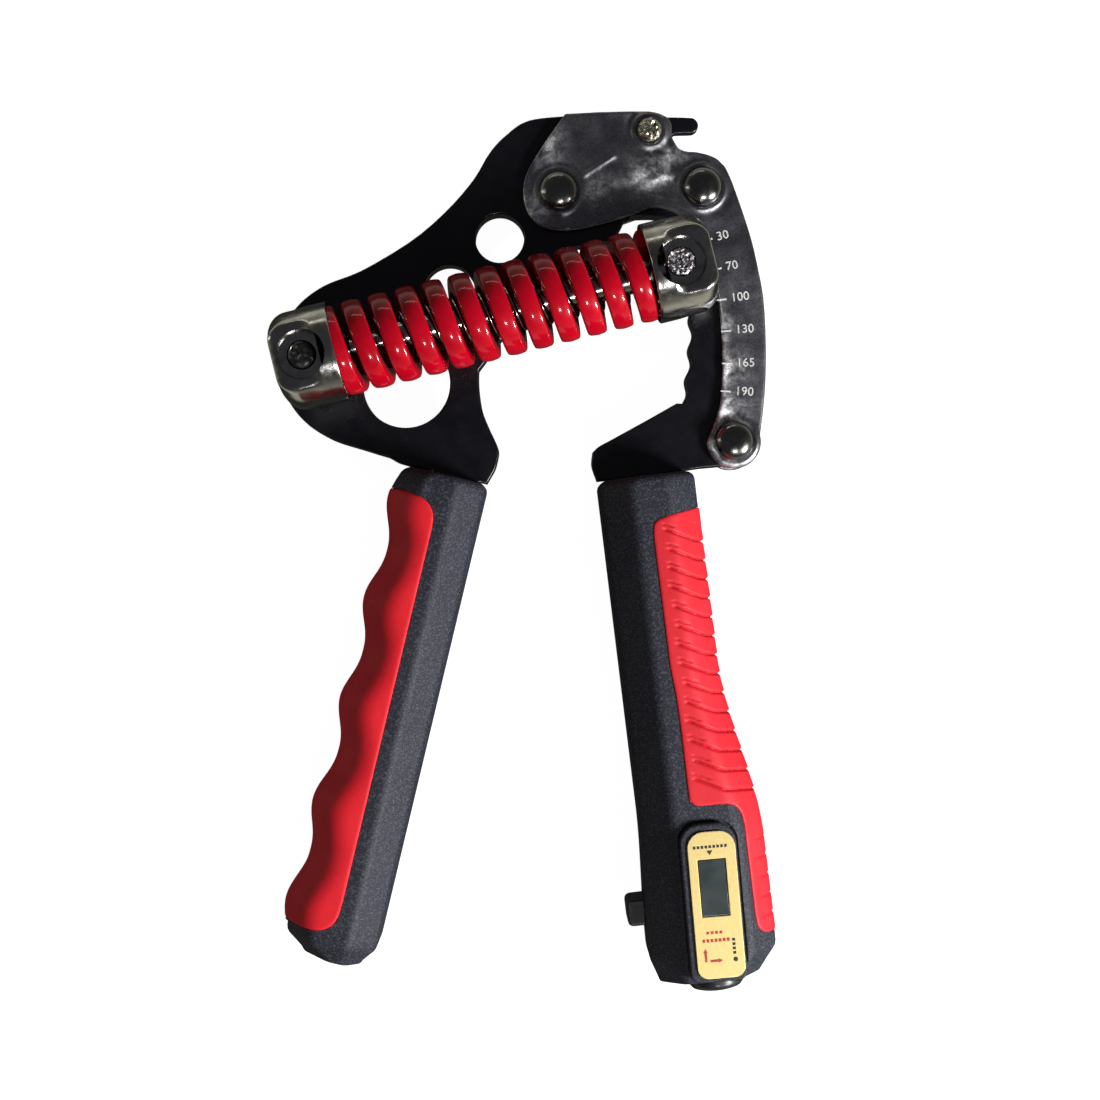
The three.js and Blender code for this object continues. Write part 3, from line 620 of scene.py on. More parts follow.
def ridge_at(point, start, end, width):
    """1 along a straight crease and fading to both sides and past its ends."""
    run = Vector(end) - Vector(start)
    along = run.normalized()
    offset = point - Vector(start)
    u = offset.dot(along)
    beyond = max(-u, u - run.length, 0)
    return bell(math.hypot(offset.cross(along), beyond), width)


def bracket_relief(point):
    """Hand-beaten relief of the front bracket, in millimetres."""
    place = point.xy
    height = 0.22 * noise.noise(Vector((*place / 7, 1.7)))
    for x, y, r, width, rise in RINGS:
        height += rise * bell(math.hypot(place.x - x, place.y - y) - r, width)
    for start, end, width, rise in CREASES:
        height += rise * ridge_at(place - Vector(LEVER_SCREW), start, end, width)
    ripple = 0.8 + 0.9 * noise.noise(Vector((*place / 4, 8.3)))
    return height - 0.60 * ripple * ridge_at(place, (37.4, -27), (38.6, -51), 1.5)


def add_brackets():
    front, z0, z1 = replated("front_bracket", 0.5)
    remesh = front.modifiers.new("remesh", "REMESH")
    remesh.mode = "VOXEL"
    remesh.voxel_size = 0.3
    remesh.adaptivity = 0
    applied(front)
    middle = (z0 + z1) / 2
    raised(front, lambda p: bracket_relief(p) * smoothstep(p.z, middle, z1 - 0.1))
    settle(front, TOOL, "frame_side", DARK_NICKEL, ["front_bracket"], 80)
    add_plate("back_bracket", "frame_side", DARK_NICKEL, 0.45)


def add_rivets():
    """Domed heads on both sides of the tool, each pair on one shank."""
    head_r, head_h, lip, shank_r, edge = 4.3, 2.8, 0.5, 2.8, 0.25
    half = [(shank_r, SEAT), (head_r - edge, SEAT), (head_r, SEAT + edge), (head_r, SEAT + lip)]
    for x, z in arc(0, 0, 1, 0, 90, 14)[1:-1]:
        half.append((head_r * x, SEAT + lip + (head_h - lip) * z))
    half.append((0, SEAT + head_h))
    profile = [(r, -z) for r, z in reversed(half)] + half
    for name, place in {"pivot": PIVOT, "upper": UPPER_RIVET, "lower": LOWER_RIVET}.items():
        rivet = moved(lathe(f"{name}_rivet_turned", profile, 96), at(*place))
        settle(rivet, TOOL, "frame_side", RIVET_NICKEL, [f"{name}_rivet"], 50)


def rough_top(piece, above, depth, size):
    """Cast unevenness on what lies above a height."""
    def lift(p):
        wave = noise.noise(Vector((p.x / size, p.y / size, 3.1)))
        return (wave - 0.4) * depth * smoothstep(p.z, above, above + 0.2)
    return raised(piece, lift)


def disc_rings(r, z, count=12):
    """Profile points across a flat round top, from its rim inwards."""
    return [(r * (1 - k / count), z) for k in range(count + 1)]


def cross_slotted(screw, half_length, half_width, z0, z1, turn):
    for angle in (turn, turn + 90):
        slot = block(-half_length, half_length, -half_width, half_width, z0, z1)
        carved(screw, moved(slot, at(0, 0, turn=angle)))


def add_lever_screw():
    foot, shank_r, top = BACK_Z + 0.6, 2.0, SEAT + 2.2
    profile = [(0, foot), (shank_r - 0.3, foot), (shank_r, foot + 0.3), (shank_r, SEAT), (2.5, SEAT),
               (2.75, SEAT + 0.3), (2.7, SEAT + 0.8), (2.3, top - 0.6), *disc_rings(1.9, top - 0.3)]
    screw = rough_top(lathe("lever_screw_turned", profile, 64), top - 0.9, 0.6, 0.7)
    cross_slotted(screw, 1.7, 0.35, top - 1.1, top + 1, 40)
    moved(screw, at(*LEVER_SCREW))
    settle(screw, TOOL, "frame_side", AGED_BRASS, ["lever_screw"], 40)
    add_plate("lever_nut", "frame_side", ZINC, 0.4)


# ------------------------------------------------------------------ scale on the bracket

# Where each tick starts, about the pivot.
SCALE = {"30": (32.3, -11.2), "70": (34.3, -17.7), "100": (35.4, -24.5), "130": (36.4, -31.4),
         "165": (36.6, -38.6), "190": (36.3, -44.8)}
NUMBER_HEIGHT = 1.95


def number_piece(text):
    curve = bpy.data.curves.new("number", "FONT")
    curve.body = text
    curve.size = NUMBER_HEIGHT * 1.38
    curve.space_character = 1.04
    curve.extrude = 0.03
    curve.offset = 0.02
    curve.align_y = "CENTER"
    return moved(from_curve("number", curve), at(3.2, 0.1, 0.05))


def add_scale():
    """A tick and a number for each notch, stamped in white along lines from the strut's hinge."""
    for text, start in SCALE.items():
        away = Vector(start) - Vector(STRUT_HINGE)
        place = at(*start, turn=0.8 * math.degrees(math.atan2(away.y, away.x)))
        outline = rounded([(0, -0.16), (2.2, -0.2), (2.2, 0.2), (0, 0.16)], 0.1)
        for word, piece in (("tick", flat_piece("tick", [outline], 0, 0.12, 0.03)),
                            ("number", number_piece(text))):
            piece.name = f"scale_{word}_{text}"
            moved(piece, place)
            raised(piece, lambda p: BRACKET_OUT + bracket_relief(p) - 0.02)
            settle(piece, TOOL, "frame_side", WHITE_INK)


# ------------------------------------------------------------------ the strut

# Each plane of a cap's faceted end: the direction that it faces, in degrees from +Y, and its distance.
CAP_PLANES = [(0, 11.0), (12, 10.95), (38.5, 11.0), (90, CAP_FLAT)]
CAP_STEPS = 160


def cap_radius(angle):
    """How far the faceted outline lies from the cap's axis; the same above, below, front and back."""
    y, z = abs(math.cos(angle)), abs(math.sin(angle))
    reach = 0.0
    for facing, distance in CAP_PLANES:
        a = math.radians(facing)
        reach += max(0.0, (y * math.cos(a) + z * math.sin(a)) / distance) ** 36
    return reach ** (-1 / 36)


def cap_ring(x, inset_y, inset_z, roundness):
    """A section of the cap, from faceted (0) to round (1), drawn in across and from the front."""
    ring = []
    for k in range(CAP_STEPS):
        a = 2 * math.pi * (k + 0.5) / CAP_STEPS
        r = mix(cap_radius(a), CAP_R, roundness)
        y = r * math.cos(a) * (1 - inset_y / CAP_R)
        ring.append((x, y, r * math.sin(a) * (1 - inset_z / CAP_FLAT)))
    return ring


def spring_cap(name, end, floor, mouth):
    """A cup: a faceted, rounded end with a recess round its pin, and a round collar for the spring."""
    way = math.copysign(1, mouth - end)
    depth = abs(mouth - end)
    wall = abs(floor - end)
    round_y, round_z = 5.2, 1.7
    rings = [(round_y, 0, 0, 0)]
    for k in range(13):
        a = math.radians(90 * k / 12)
        inset_y = round_y * (1 - math.sin(a))
        inset_z = round_z * (1 - math.sin(a) ** 0.5)
        rings.append((round_y * (1 - math.cos(a)) * 0.9, inset_y, inset_z, 0))
    for short in (3.6, 3.0, 2.4, 1.8, 1.2, 0.7, 0.3):
        u = wall - short
        rings.append((u, 0, 0, smoothstep(u, wall - 3.4, wall - 0.3)))
    for short, inset in ((0.9, 0), (0.3, 0), (0.1, 0.07), (0, 0.2)):
        rings.append((depth - short, inset, inset, 1))
    cup = lofted(name, [cap_ring(end + way * u, iy, iz, blend) for u, iy, iz, blend in sorted(rings)])
    bore_r, bore_long, recess_r, seat = 10.45, 20, 5.4, CAP_FLAT - 1.3
    bore = about_x(cylinder(bore_r, 0, bore_long, 96))
    moved(bore, at(floor if way > 0 else floor - bore_long, 0))
    pin_hole = cylinder(PIN_R + GAP, -20, 20)
    recess_profile = [(0, seat), (recess_r - 0.4, seat), (recess_r, seat + 1), (recess_r, 20), (0, 20)]
    return carved(cup, bore, pin_hole, lathe("cutter", recess_profile, 96))


def pin_profile(foot, foot_r, shank_r, change, nose):
    """From the foot to a slightly domed nose with a chamfered rim."""
    return [(0, foot), (foot_r - 0.2, foot), (foot_r, foot + 0.2), (foot_r, change), (shank_r, change),
            (PIN_R, nose - 0.6), (PIN_R - 0.25, nose - 0.25), *disc_rings(PIN_R - 0.6, nose)]


def wire(name, radius, section, x0, x1, turns, steps=44):
    """A helical wire about X. The section is given as radial and axial offsets."""
    rings = []
    total = int(turns * steps)
    pitch = (x1 - x0) / (2 * math.pi * turns)
    for i in range(total + 1):
        a = 2 * math.pi * turns * i / total
        centre = Vector((mix(x0, x1, i / total), radius * math.cos(a), radius * math.sin(a)))
        outward = Vector((0, math.cos(a), math.sin(a)))
        along = Vector((pitch, -radius * math.sin(a), radius * math.cos(a))).normalized()
        sideways = along.cross(outward)
        rings.append([centre + outward * p + sideways * q for p, q in section])
    return lofted(name, rings)


def add_strut():
    left = spring_cap("left_cap_shell", end=-6.5, floor=3.7, mouth=7.3)
    settle(left, STRUT, "strut", DARK_CHROME, ["left_spring_cap"], 40)
    right = spring_cap("right_cap_shell", end=7.3, floor=-3.0, mouth=-6.6)
    settle(right, STRUT_END, "strut_end", DARK_CHROME, ["right_spring_cap"], 40)
    add_cap_pins()
    add_guide()
    add_springs()


def add_cap_pins():
    """The left pin goes through the arm and has a head behind it; the right one has a narrow foot."""
    nose = CAP_FLAT - 0.4
    arm_back = -STRUT_Z - ARM_HALF
    left = lathe("left_pin_turned", pin_profile(arm_back - GAP - 2.1, 5, PIN_R, arm_back - GAP, nose))
    rough_top(left, nose - 0.4, 0.25, 1.1)
    settle(left, STRUT, "moving_side", SMOKED_PIN, ["left_cap_pin"], 40)
    right = lathe("right_pin_turned", pin_profile(arm_back, 2.2, PIN_R, -CAP_FLAT - GAP, nose))
    rough_top(right, nose - 0.4, 0.8, 0.55)
    settle(right, STRUT_END, "strut_end", CAST_SILVER, ["right_cap_pin"], 40)


def add_guide():
    """A rod that slides in a tube, and a soft buffer round the rod's foot."""
    rod_end, tube_end = STRUT_LENGTH - 17.0, STRUT_LENGTH - 3.2
    rod = [(0, 3.9), (1.7, 3.9), (2, 4.2), (2, rod_end - 0.5), (1.5, rod_end), (0, rod_end)]
    tube = [(2.3, 20.0), (2.6, 19.7), (3.1, 19.7), (3.3, 20.0), (3.3, tube_end), (2.3, tube_end)]
    buffer = [(2.1, 7.3), (2.4, 7.0), (3.2, 7.0), (3.6, 7.4), (3.6, 9.6), (3.2, 10.0), (2.4, 10.0),
              (2.1, 9.7)]
    parts = (("guide_rod", rod, "strut", DARK_CHROME, "chrome_plate"),
             ("guide_tube", tube, "strut_end", DARK_CHROME, "chrome_plate"),
             ("rod_buffer", buffer, "strut", BLACK_PLASTIC, "black_plastic"))
    for node, profile, body, look, slot in parts:
        piece = about_x(lathe(f"{node}_turned", profile, 48, hollow=profile is not rod))
        settle(piece, STRUT, body, look, [node])


def add_springs():
    flat_wire = rounded([(-1.9, -2.15), (1.75, -2.15), (2.1, 0), (1.75, 2.15), (-1.9, 2.15)], 0.7, 3)
    main = wire("main_spring_coil", 8.1, flat_wire, 6.15, 78.2, turns=12)
    inner = wire("inner_spring_coil", 4.9, circle(0, 0, 0.6, 10), 4.7, 79.7, turns=13, steps=30)
    for piece, look, slot, node in ((main, RED_LACQUER, "red_spring_lacquer", "main_spring"),
                                    (inner, DARK_CHROME, "chrome_plate", "inner_spring")):
        settle(piece, STRUT, "strut", look, [node], 50)
        applied(piece)
        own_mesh(piece)


# ------------------------------------------------------------------ handles


def half_section(t0, t1, half, side, b0, b1, corner=1.3, seam=True):
    """The front half of a handle's outline, from its right side over the front to its left side."""
    face = [(t1, side), (t1 - b1, half), (t0 + b0, half), (t0, side)]
    if seam:
        points = [(t1 - 0.3, 0.06), (t1, 0.35), *face, (t0, 0.35), (t0 + 0.3, 0.06)]
    else:
        points = [(t1, 0), *face, (t0, 0)]
    return rounded(points, corner, closed=False)


def with_back(front):
    """A section's front half, followed by the same line on the back."""
    return front + [Vector((p.x, -p.y)) for p in reversed(front)]


def handle_shape(t0, t1, b0, b1, inset):
    """What half_section takes for a full section: its two sides and the bevels beside its front."""
    return {"t0": t0 + inset, "t1": t1 - inset, "half": HANDLE_HALF - inset,
            "side": SIDE_HALF - inset / 2, "b0": b0, "b1": b1}


def left_section(s, inset=0.0):
    wave = 0.5 + 0.5 * math.cos(2 * math.pi * (s - 7.5) / 23.0)
    width = 18.2 + 1.4 * smoothstep(s, 55, 100) + 2.6 * wave**1.2
    return handle_shape(-width, 0.0, 6.0, 5.9, inset)


def right_edge(s):
    """Where the right handle's outer side lies."""
    return 21.4 + 5.4 * smoothstep(s, 42, 82)


def right_section(s, inset=0.0):
    return handle_shape(-1.5 * smoothstep(s, 74, 106), right_edge(s), 7.0, 6.0, inset)


# Where each handle's foot starts to narrow, where it ends, and its section there.
LEFT_CHAMFER, LEFT_LENGTH = 105.5, 110
RIGHT_CHAMFER, RIGHT_LENGTH = 106, 111.5
LEFT_END = {"t0": -15.8, "t1": -2.8, "half": 10.2, "side": 5.2, "b0": 6.0, "b1": 3.2}
RIGHT_END = {"t0": 0.2, "t1": 22.6, "half": 11.6, "side": 6.0, "b0": 5.4, "b1": 4.6}


def eased_stations(section, length, chamfer, end, step=2.0):
    """Stations down a handle: a small round at the top and a faceted foot that narrows to end."""
    tip = ((0, 1.5), (0.12, 1.1), (0.45, 0.6), (0.95, 0.2), (1.7, 0))
    made = [(s, section(s, inset)) for s, inset in tip]
    s = tip[-1][0] + step
    while s < chamfer - 1.5:
        made.append((s, section(s)))
        s += step
    full = section(chamfer)
    foot = length - chamfer
    for down, share in ((-1.4, 0), (-0.5, 0.012), (0.3, 0.06), (1.0, 0.17), (0.5 * foot, 0.50),
                        (foot - 0.9, 0.84), (foot - 0.35, 0.93), (foot, 1.0)):
        made.append((chamfer + down, {key: mix(full[key], end[key], share) for key in full}))
    return made


def shell(name, stations, way):
    """Front (way 1) or back (way -1) half of a handle through its stations."""
    rings = []
    for s, shape in stations:
        rings.append([(p.x, -s, HANDLE_MID + way * p.y) for p in half_section(**shape)])
    return lofted(name, rings)


def spline(points, steps):
    """A smooth line through points (Catmull-Rom), with steps parts between each two."""
    made = []
    pts = [Vector(p) for p in points]
    pts = [pts[0] * 2 - pts[1], *pts, pts[-1] * 2 - pts[-2]]
    for a, b, c, d in zip(pts, pts[1:], pts[2:], pts[3:]):
        for k in range(steps):
            made.append(smooth_point(b, c, (c - a) / 2, (d - b) / 2, k / steps))
    made.append(pts[-2])
    return made


# The pads' edges on the front face, as (t, s) points from their upper to their lower end.
LEFT_EDGE = spline([(-16.5, 5.6), (-13.2, 6.1), (-10.9, 7.4), (-9.6, 9.6), (-9.3, 12.5)], 5) + spline(
    [(-9.3, 96.0), (-9.6, 99.4), (-10.6, 101.6), (-12.6, 103.0), (-15.5, 103.6)], 5)
RIGHT_EDGE = spline(
    [(20.8, 8.3), (16.8, 8.9), (13.2, 9.5), (11.2, 10.3), (10.5, 11.7), (10.3, 14.5)], 5) + spline(
    [(10.4, 42.0), (11.0, 52.0), (11.0, 70.6), (11.3, 71.8), (12.2, 72.7), (13.6, 73.0)], 4) + spline(
    [(18.6, 73.1), (20.6, 73.8), (21.9, 75.4), (22.4, 78.0)], 4) + spline(
    [(22.4, 98.0), (22.8, 101.0), (24.2, 102.6), (25.6, 103.0)], 4)


def edge_at(edge, s):
    """Where a pad's edge lies across the handle at a distance down it."""
    return np.interp(s, [point[1] for point in edge], [point[0] for point in edge])


FINE = (0, 0.06, 0.16, 0.32, 0.55, 0.9)  # how far from a pad's rim its mesh has extra lines


def graded(start, end, count):
    """Distances from start to end: even parts between two finely divided ends."""
    even = [mix(start + FINE[-1], end - FINE[-1], k / count) for k in range(1, count)]
    return [start + d for d in FINE] + even + [end - d for d in reversed(FINE)]


PAD_PROUD = 0.3
PAD_THICK = 1.5
PAD_RIM = 0.7  # how far in from its rim a pad reaches its full height


def wrapped_line(front, edge_t, side):
    """A handle's outline from a pad's front edge, round the outside, to its back edge."""
    line = front if side < 0 else front[::-1]
    kept = []
    for a, b in zip(line, line[1:]):
        inside = (a.x - edge_t) * side >= 0
        if not kept and not inside and (b.x - edge_t) * side > 0:
            kept.append(a + (b - a) * ((edge_t - a.x) / (b.x - a.x)))
        elif inside:
            kept.append(a)
    kept.append(line[-1])
    return kept + with_back(kept)[len(kept) + 1:]


def distances_to(points, edge):
    """Distance from each (t, s) point to a pad's edge line, all in millimetres."""
    best = np.full(len(points), 1e9)
    for a, b in zip(edge, edge[1:]):
        a, b = np.array(a), np.array(b)
        along = b - a
        u = np.clip(((points - a) @ along) / max(along @ along, 1e-9), 0, 1)
        best = np.minimum(best, np.linalg.norm(points - a - u[:, None] * along, axis=1))
    return best


def spaced(line, columns):
    """Points at graded distances along a line: the distances, x, z and the outward normals."""
    lengths = [0.0]
    for a, b in zip(line, line[1:]):
        lengths.append(lengths[-1] + (b - a).length)
    places = np.array(graded(0.0, lengths[-1], columns))
    xs = np.interp(places, lengths, [p.x for p in line])
    zs = np.interp(places, lengths, [p.y for p in line])
    dx, dz = np.gradient(xs, places), np.gradient(zs, places)
    size = np.hypot(dx, dz)
    way = -1 if dx[len(dx) // 8] < 0 else 1
    return places, xs, zs, -way * dz / size, way * dx / size


def pad_rows(edge, step):
    """Distances down a pad: graded, with every corner of its edge among them."""
    first, last = edge[0][1], edge[-1][1]
    corners = {round(s, 3) for _, s in edge if first < s < last}
    count = int((last - first - 2 * FINE[-1]) / step)
    rows = sorted(set(graded(first, last, count)) | corners)
    return [s for i, s in enumerate(rows) if i == 0 or s - rows[i - 1] > 0.035]


def wrapped_pad(name, section, edge, side, relief, corner, step, columns):
    """A soft skin round one side of a handle, as a closed solid with a rounded rim."""
    rings = []
    for s in pad_rows(edge, step):
        edge_t = edge_at(edge, s)
        line = wrapped_line(half_section(**section(s), corner=corner, seam=False), edge_t, side)
        places, xs, zs, nx, nz = spaced(line, columns)
        folded = np.minimum(places, places[-1] - places)
        flat = np.column_stack([edge_t + side * folded, np.full(len(places), s)])
        rim = np.minimum(distances_to(flat, edge), min(s - edge[0][1], edge[-1][1] - s))
        rise = PAD_PROUD * np.sqrt(1 - (1 - np.clip(rim / PAD_RIM, 0, 1)) ** 2)
        rise += [relief(s, x, z, r) for x, z, r in zip(xs, zs, rim)]
        rise = np.minimum(rise, zs + HANDLE_HALF)
        outer = list(zip(xs + nx * rise, zs + nz * rise))
        inner = list(zip(xs - nx * PAD_THICK, zs - nz * PAD_THICK))
        rings.append([(x, -s, HANDLE_MID + z) for x, z in outer + inner[::-1]])
    return lofted(name, rings)


def left_relief(s, t, z, rim):
    """A slight, worn waviness."""
    return 0.05 * noise.noise(Vector((s / 5, t / 5, z / 5))) * smoothstep(rim, 0.2, 2)


RIBS = 14
RIB_PITCH = 4.215
FIRST_RIB = 12.1
RIB_START = 12.8
LAST_RIB_S = 82  # below this the grooves are only notches in the outer edge
NOTCH_PITCH = 4.3


def rib_lean(t):
    """How far a groove has come down the handle at a distance across it."""
    return 0.52 * (min(t, 19.0) - RIB_START) + 0.2 * max(0.0, t - 19.0)


def right_relief(s, t, z, rim):
    """Oblique grooves that reach the outer edge, each with a short tick above its start."""
    outside = right_edge(s)
    fade = smoothstep(rim, 0.3, 1.2)
    if s > LAST_RIB_S:
        notch = (((s - 84.0) / NOTCH_PITCH) % 1.0 - 0.5) * NOTCH_PITCH
        return -0.26 * smoothstep(t, outside - 3.5, outside - 1.0) * bell(notch, 0.35) * fade
    place = (s - FIRST_RIB - rib_lean(min(t, outside))) / RIB_PITCH
    if not -0.9 < place < RIBS - 0.4:
        return 0.0
    rib = round(place)
    near = (place - rib) * RIB_PITCH
    start = RIB_START + 0.3 * math.sin(rib * 1.7)
    edge = smoothstep(t, outside - 4.5, outside - 0.5)
    groove = (0.60 + 0.06 * edge) * bell(near, 0.27)
    swell = 0.20 * edge * (place % 1.0) ** 1.5 - 0.08 * edge
    tick_end = start + 2.2 + 0.10 * rib
    tick = 0.36 * bell(near + 1.15, 0.2) * (1 - smoothstep(t, tick_end - 0.6, tick_end))
    return (swell - groove - tick) * smoothstep(t, start - 0.2, start + 0.3) * fade


def grown(edge, by, side):
    """A pad's outline for cutting, as a closed loop that reaches past the handle's outside."""
    outer = 60 * side
    line = [Vector((t - side * by, -s)) for t, s in edge]
    line[0].y = by - edge[0][1]
    line[-1].y = -by - edge[-1][1]
    return [(outer, line[0].y), *((p.x, p.y) for p in line), (outer, line[-1].y)]


def pad_pocket(section, edge, side, inset=1.3):
    """What is cut from the handle shells under a pad."""
    rings = []
    for s in range(-10, 126, 3):
        shape = section(s)
        shape["half"] -= inset
        shape["side"] -= inset * 0.4
        shape["t0"] += inset if side < 0 else -10
        shape["t1"] += 10 if side < 0 else -inset
        line = with_back(half_section(**shape, corner=2.4))
        rings.append([(p.x, -s, HANDLE_MID + p.y) for p in line])
    return carved(prism(grown(edge, 0.1, side), -30, 40), lofted("cutter", rings))


def screw_hole(t, s):
    head_r, shank_r = 2.4, 1.5
    start, step, end = BACK_Z - 1, BACK_Z + 3.5, 9.8
    profile = [(0, start), (head_r, start), (head_r, step), (shank_r, step), (shank_r, end), (0, end)]
    return moved(lathe("cutter", profile, 32), at(t, -s))


def add_screws(side, place, t, body):
    seat = BACK_Z + 3.2
    top = seat - 2.0
    profile = [(0, 9.5), (0.5, 9.2), (1.2, 8.2), (1.2, seat), (1.95, seat), (2.1, seat - 0.2),
               (2.05, seat - 1.2), (1.7, seat - 1.75), (1.0, top), (0, top)]
    for i, s in enumerate(SCREW_ROWS):
        screw = lathe(f"{side}_screw_{i + 1}_turned", profile, 48)
        cross_slotted(screw, 1.3, 0.28, top - 1, top + 0.9, 20 + 35 * i)
        moved(screw, at(t, -s))
        settle(screw, place, body, ZINC, [f"{side}_handle_screw_{i + 1}"])


def tang_slot(t):
    half, length = 5.5 + GAP, 68 + GAP
    return block(t - half, t + half, -length, 4, -ARM_HALF - GAP, ARM_HALF + 2 * GAP)


def add_handle(side, place, body, stations, make_cutters, tang_t, screw_t):
    """Both shells of a handle and its screws. The cutters are made afresh for each shell."""
    for part, way in (("front", 1), ("back", -1)):
        cutters = make_cutters() + [screw_hole(screw_t, s) for s in SCREW_ROWS]
        if part == "back":
            cutters.append(tang_slot(tang_t))
        made = carved(shell(f"{side}_{part}_shell", stations, way), *cutters)
        settle(made, place, body, CHARCOAL, [f"{side}_handle_{part}"], 30)
    add_screws(side, place, screw_t, body)


def add_left_handle():
    stations = eased_stations(left_section, LEFT_LENGTH, LEFT_CHAMFER, LEFT_END)
    add_handle("left", LEFT_HANDLE, "moving_side", stations,
               lambda: [pad_pocket(left_section, LEFT_EDGE, -1)], tang_t=-7.6, screw_t=-6.2)
    pad = wrapped_pad("left_pad_skin", left_section, LEFT_EDGE, -1, left_relief,
                      corner=3.2, step=0.8, columns=60)
    settle(pad, LEFT_HANDLE, "moving_side", LEFT_PAD_RED_PAINTED_LIGHTER, ["left_grip_pad"], 60)


def right_cutters():
    """What the reset knob, the plunger and the counter need cut from the shells."""
    bore_r, stem_r, p = KNOB["r"] + GAP, 2.3, PLUNGER
    profile = [(0, -30), (bore_r, -30), (bore_r, GAP), (stem_r, GAP), (stem_r, 6), (0, 6)]
    knob_bore = moved(lathe("cutter", profile, 64), at(KNOB["t"], -KNOB["floor"], KNOB["z"], -90, "X"))
    half_h, half_d = p["half_h"] + GAP, p["half_d"] + GAP
    end = p["out"] + p["length"] + p["travel"] + GAP
    guide = block(p["out"] - 6, end, -p["s"] - half_h, -p["s"] + half_h, HANDLE_MID - half_d,
                  HANDLE_MID + half_d)
    counter_pocket = block(-5.5, 5.5, -8.6, 15.6, 2.2, 40)
    moat = prism(strip(-6.75, 6.75, 17.8, -24, 4.9, 1.0), FRONT_Z - 0.7, FRONT_Z + 3)
    for cutter in (counter_pocket, moat):
        moved(cutter, RIGHT_HANDLE.inverted() @ COUNTER)
    return [knob_bore, guide, counter_pocket, moat]


def add_right_handle():
    stations = eased_stations(right_section, RIGHT_LENGTH, RIGHT_CHAMFER, RIGHT_END)
    add_handle("right", RIGHT_HANDLE, "frame_side", stations,
               lambda: [pad_pocket(right_section, RIGHT_EDGE, 1), *right_cutters()],
               tang_t=9.5, screw_t=6.6)
    pad = wrapped_pad("right_pad_skin", right_section, RIGHT_EDGE, 1, right_relief,
                      corner=1.8, step=0.2, columns=82)
    settle(pad, RIGHT_HANDLE, "frame_side", RIGHT_RED, ["right_grip_pad"], 60)


# ------------------------------------------------------------------ counter and buttons


def strip(left, right, up, down, round_top, round_foot):
    """An outline with round ends, rounder at the top than at the foot."""
    return [
        *arc(right - round_foot, down + round_foot, round_foot, -90, 0, 8),
        *arc(right - round_top, up - round_top, round_top, 0, 90, 14),
        *arc(left + round_top, up - round_top, round_top, 90, 180, 14),
        *arc(left + round_foot, down + round_foot, round_foot, 180, 270, 8),
    ]


def bar(cx, cy, width, height):
    return [(cx - width / 2, cy - height / 2), (cx + width / 2, cy - height / 2),
            (cx + width / 2, cy + height / 2), (cx - width / 2, cy + height / 2)]


BEZEL_TOP = FRONT_Z + 1.5
PLATE_TOP = BEZEL_TOP + 0.5
WINDOW = (0.4, 3.35, 6.14, 12.5)  # its middle, width and height


def window_outline(gap_x=0.0, gap_y=0.0):
    """The window's opening, or the glass in it with a gap all round."""
    cx, cy, width, height = WINDOW
    return rounded(bar(cx, cy, width - 2 * gap_x, height - 2 * gap_y), 0.15, 2)


def mark(name, outline, material):
    """A thin printed mark on the gold plate."""
    piece = flat_piece(name, [outline], PLATE_TOP - 0.03, PLATE_TOP + 0.04, 0.015)
    settle(piece, COUNTER, "frame_side", material)


def dashes(name, numbers, x, y, step_x, step_y, width, height, material):
    """A row of printed dashes from a place onwards."""
    for i, number in enumerate(numbers):
        mark(f"{name}_{number}", bar(x + step_x * i, y + step_y * i, width, height), material)


def arrow(cx, cy, length, turn):
    """A thick arrow about its middle, pointing along +X before it is turned."""
    half, head, stem, wide = length / 2, 0.95, 0.27, 0.52
    outline = [(-half, -stem), (half - head, -stem), (half - head, -wide), (half, 0),
               (half - head, wide), (half - head, stem), (-half, stem)]
    spin = Matrix.Rotation(math.radians(turn), 2)
    return [tuple(spin @ Vector(p) + Vector((cx, cy))) for p in outline]


def add_counter():
    layers = (
        ("counter_frame", "counter_bezel", [strip(-6.2, 6.2, 17.3, -17.3, 4.5, 2.0), window_outline()],
         FRONT_Z + 0.05, BEZEL_TOP, 0.55, CHARCOAL, "black_plastic"),
        ("counter_plate", "counter_faceplate", [strip(-4.6, 5.8, 15.6, -16.3, 3.6, 2.4), window_outline()],
         BEZEL_TOP + 0.05, PLATE_TOP, 0.12, GOLD, "gold_label"),
        ("counter_glass", "lcd_window", [window_outline(0.17, 0.15)],
         FRONT_Z + 0.4, BEZEL_TOP + 0.3, 0.08, GLASS, "lcd_glass"),
    )
    for name, node, loops, z0, z1, edge, look, slot in layers:
        settle(flat_piece(name, loops, z0, z1, edge), COUNTER, "frame_side", look, [node])
    dashes("plate_dash", range(1, 10), -3.1, 12.3, 0.85, 0, 0.55, 0.62, BLACK_INK)
    mark("plate_triangle", [(0.13, 10.45), (0.75, 11.5), (-0.5, 11.5)], BLACK_INK)
    dashes("plate_red_dash", range(1, 5), -1.75, -6.3, 0.95, 0, 0.6, 0.6, RED_INK)
    dashes("plate_red_dash", range(5, 12), -2.75, -8.0, 0.88, 0, 0.6, 0.7, RED_INK)
    mark("plate_arrow_up", arrow(-2.6, -11.1, 2.9, 90), RED_INK)
    mark("plate_arrow_right", arrow(-0.3, -12.4, 2.7, 0), RED_INK)
    dashes("plate_side_dash", range(1, 5), 3.7, -8.1, 0, -0.95, 0.65, 0.6, BLACK_INK)
    mark("plate_dot", circle(3.8, -12.4, 0.5, 24), BLACK_INK)


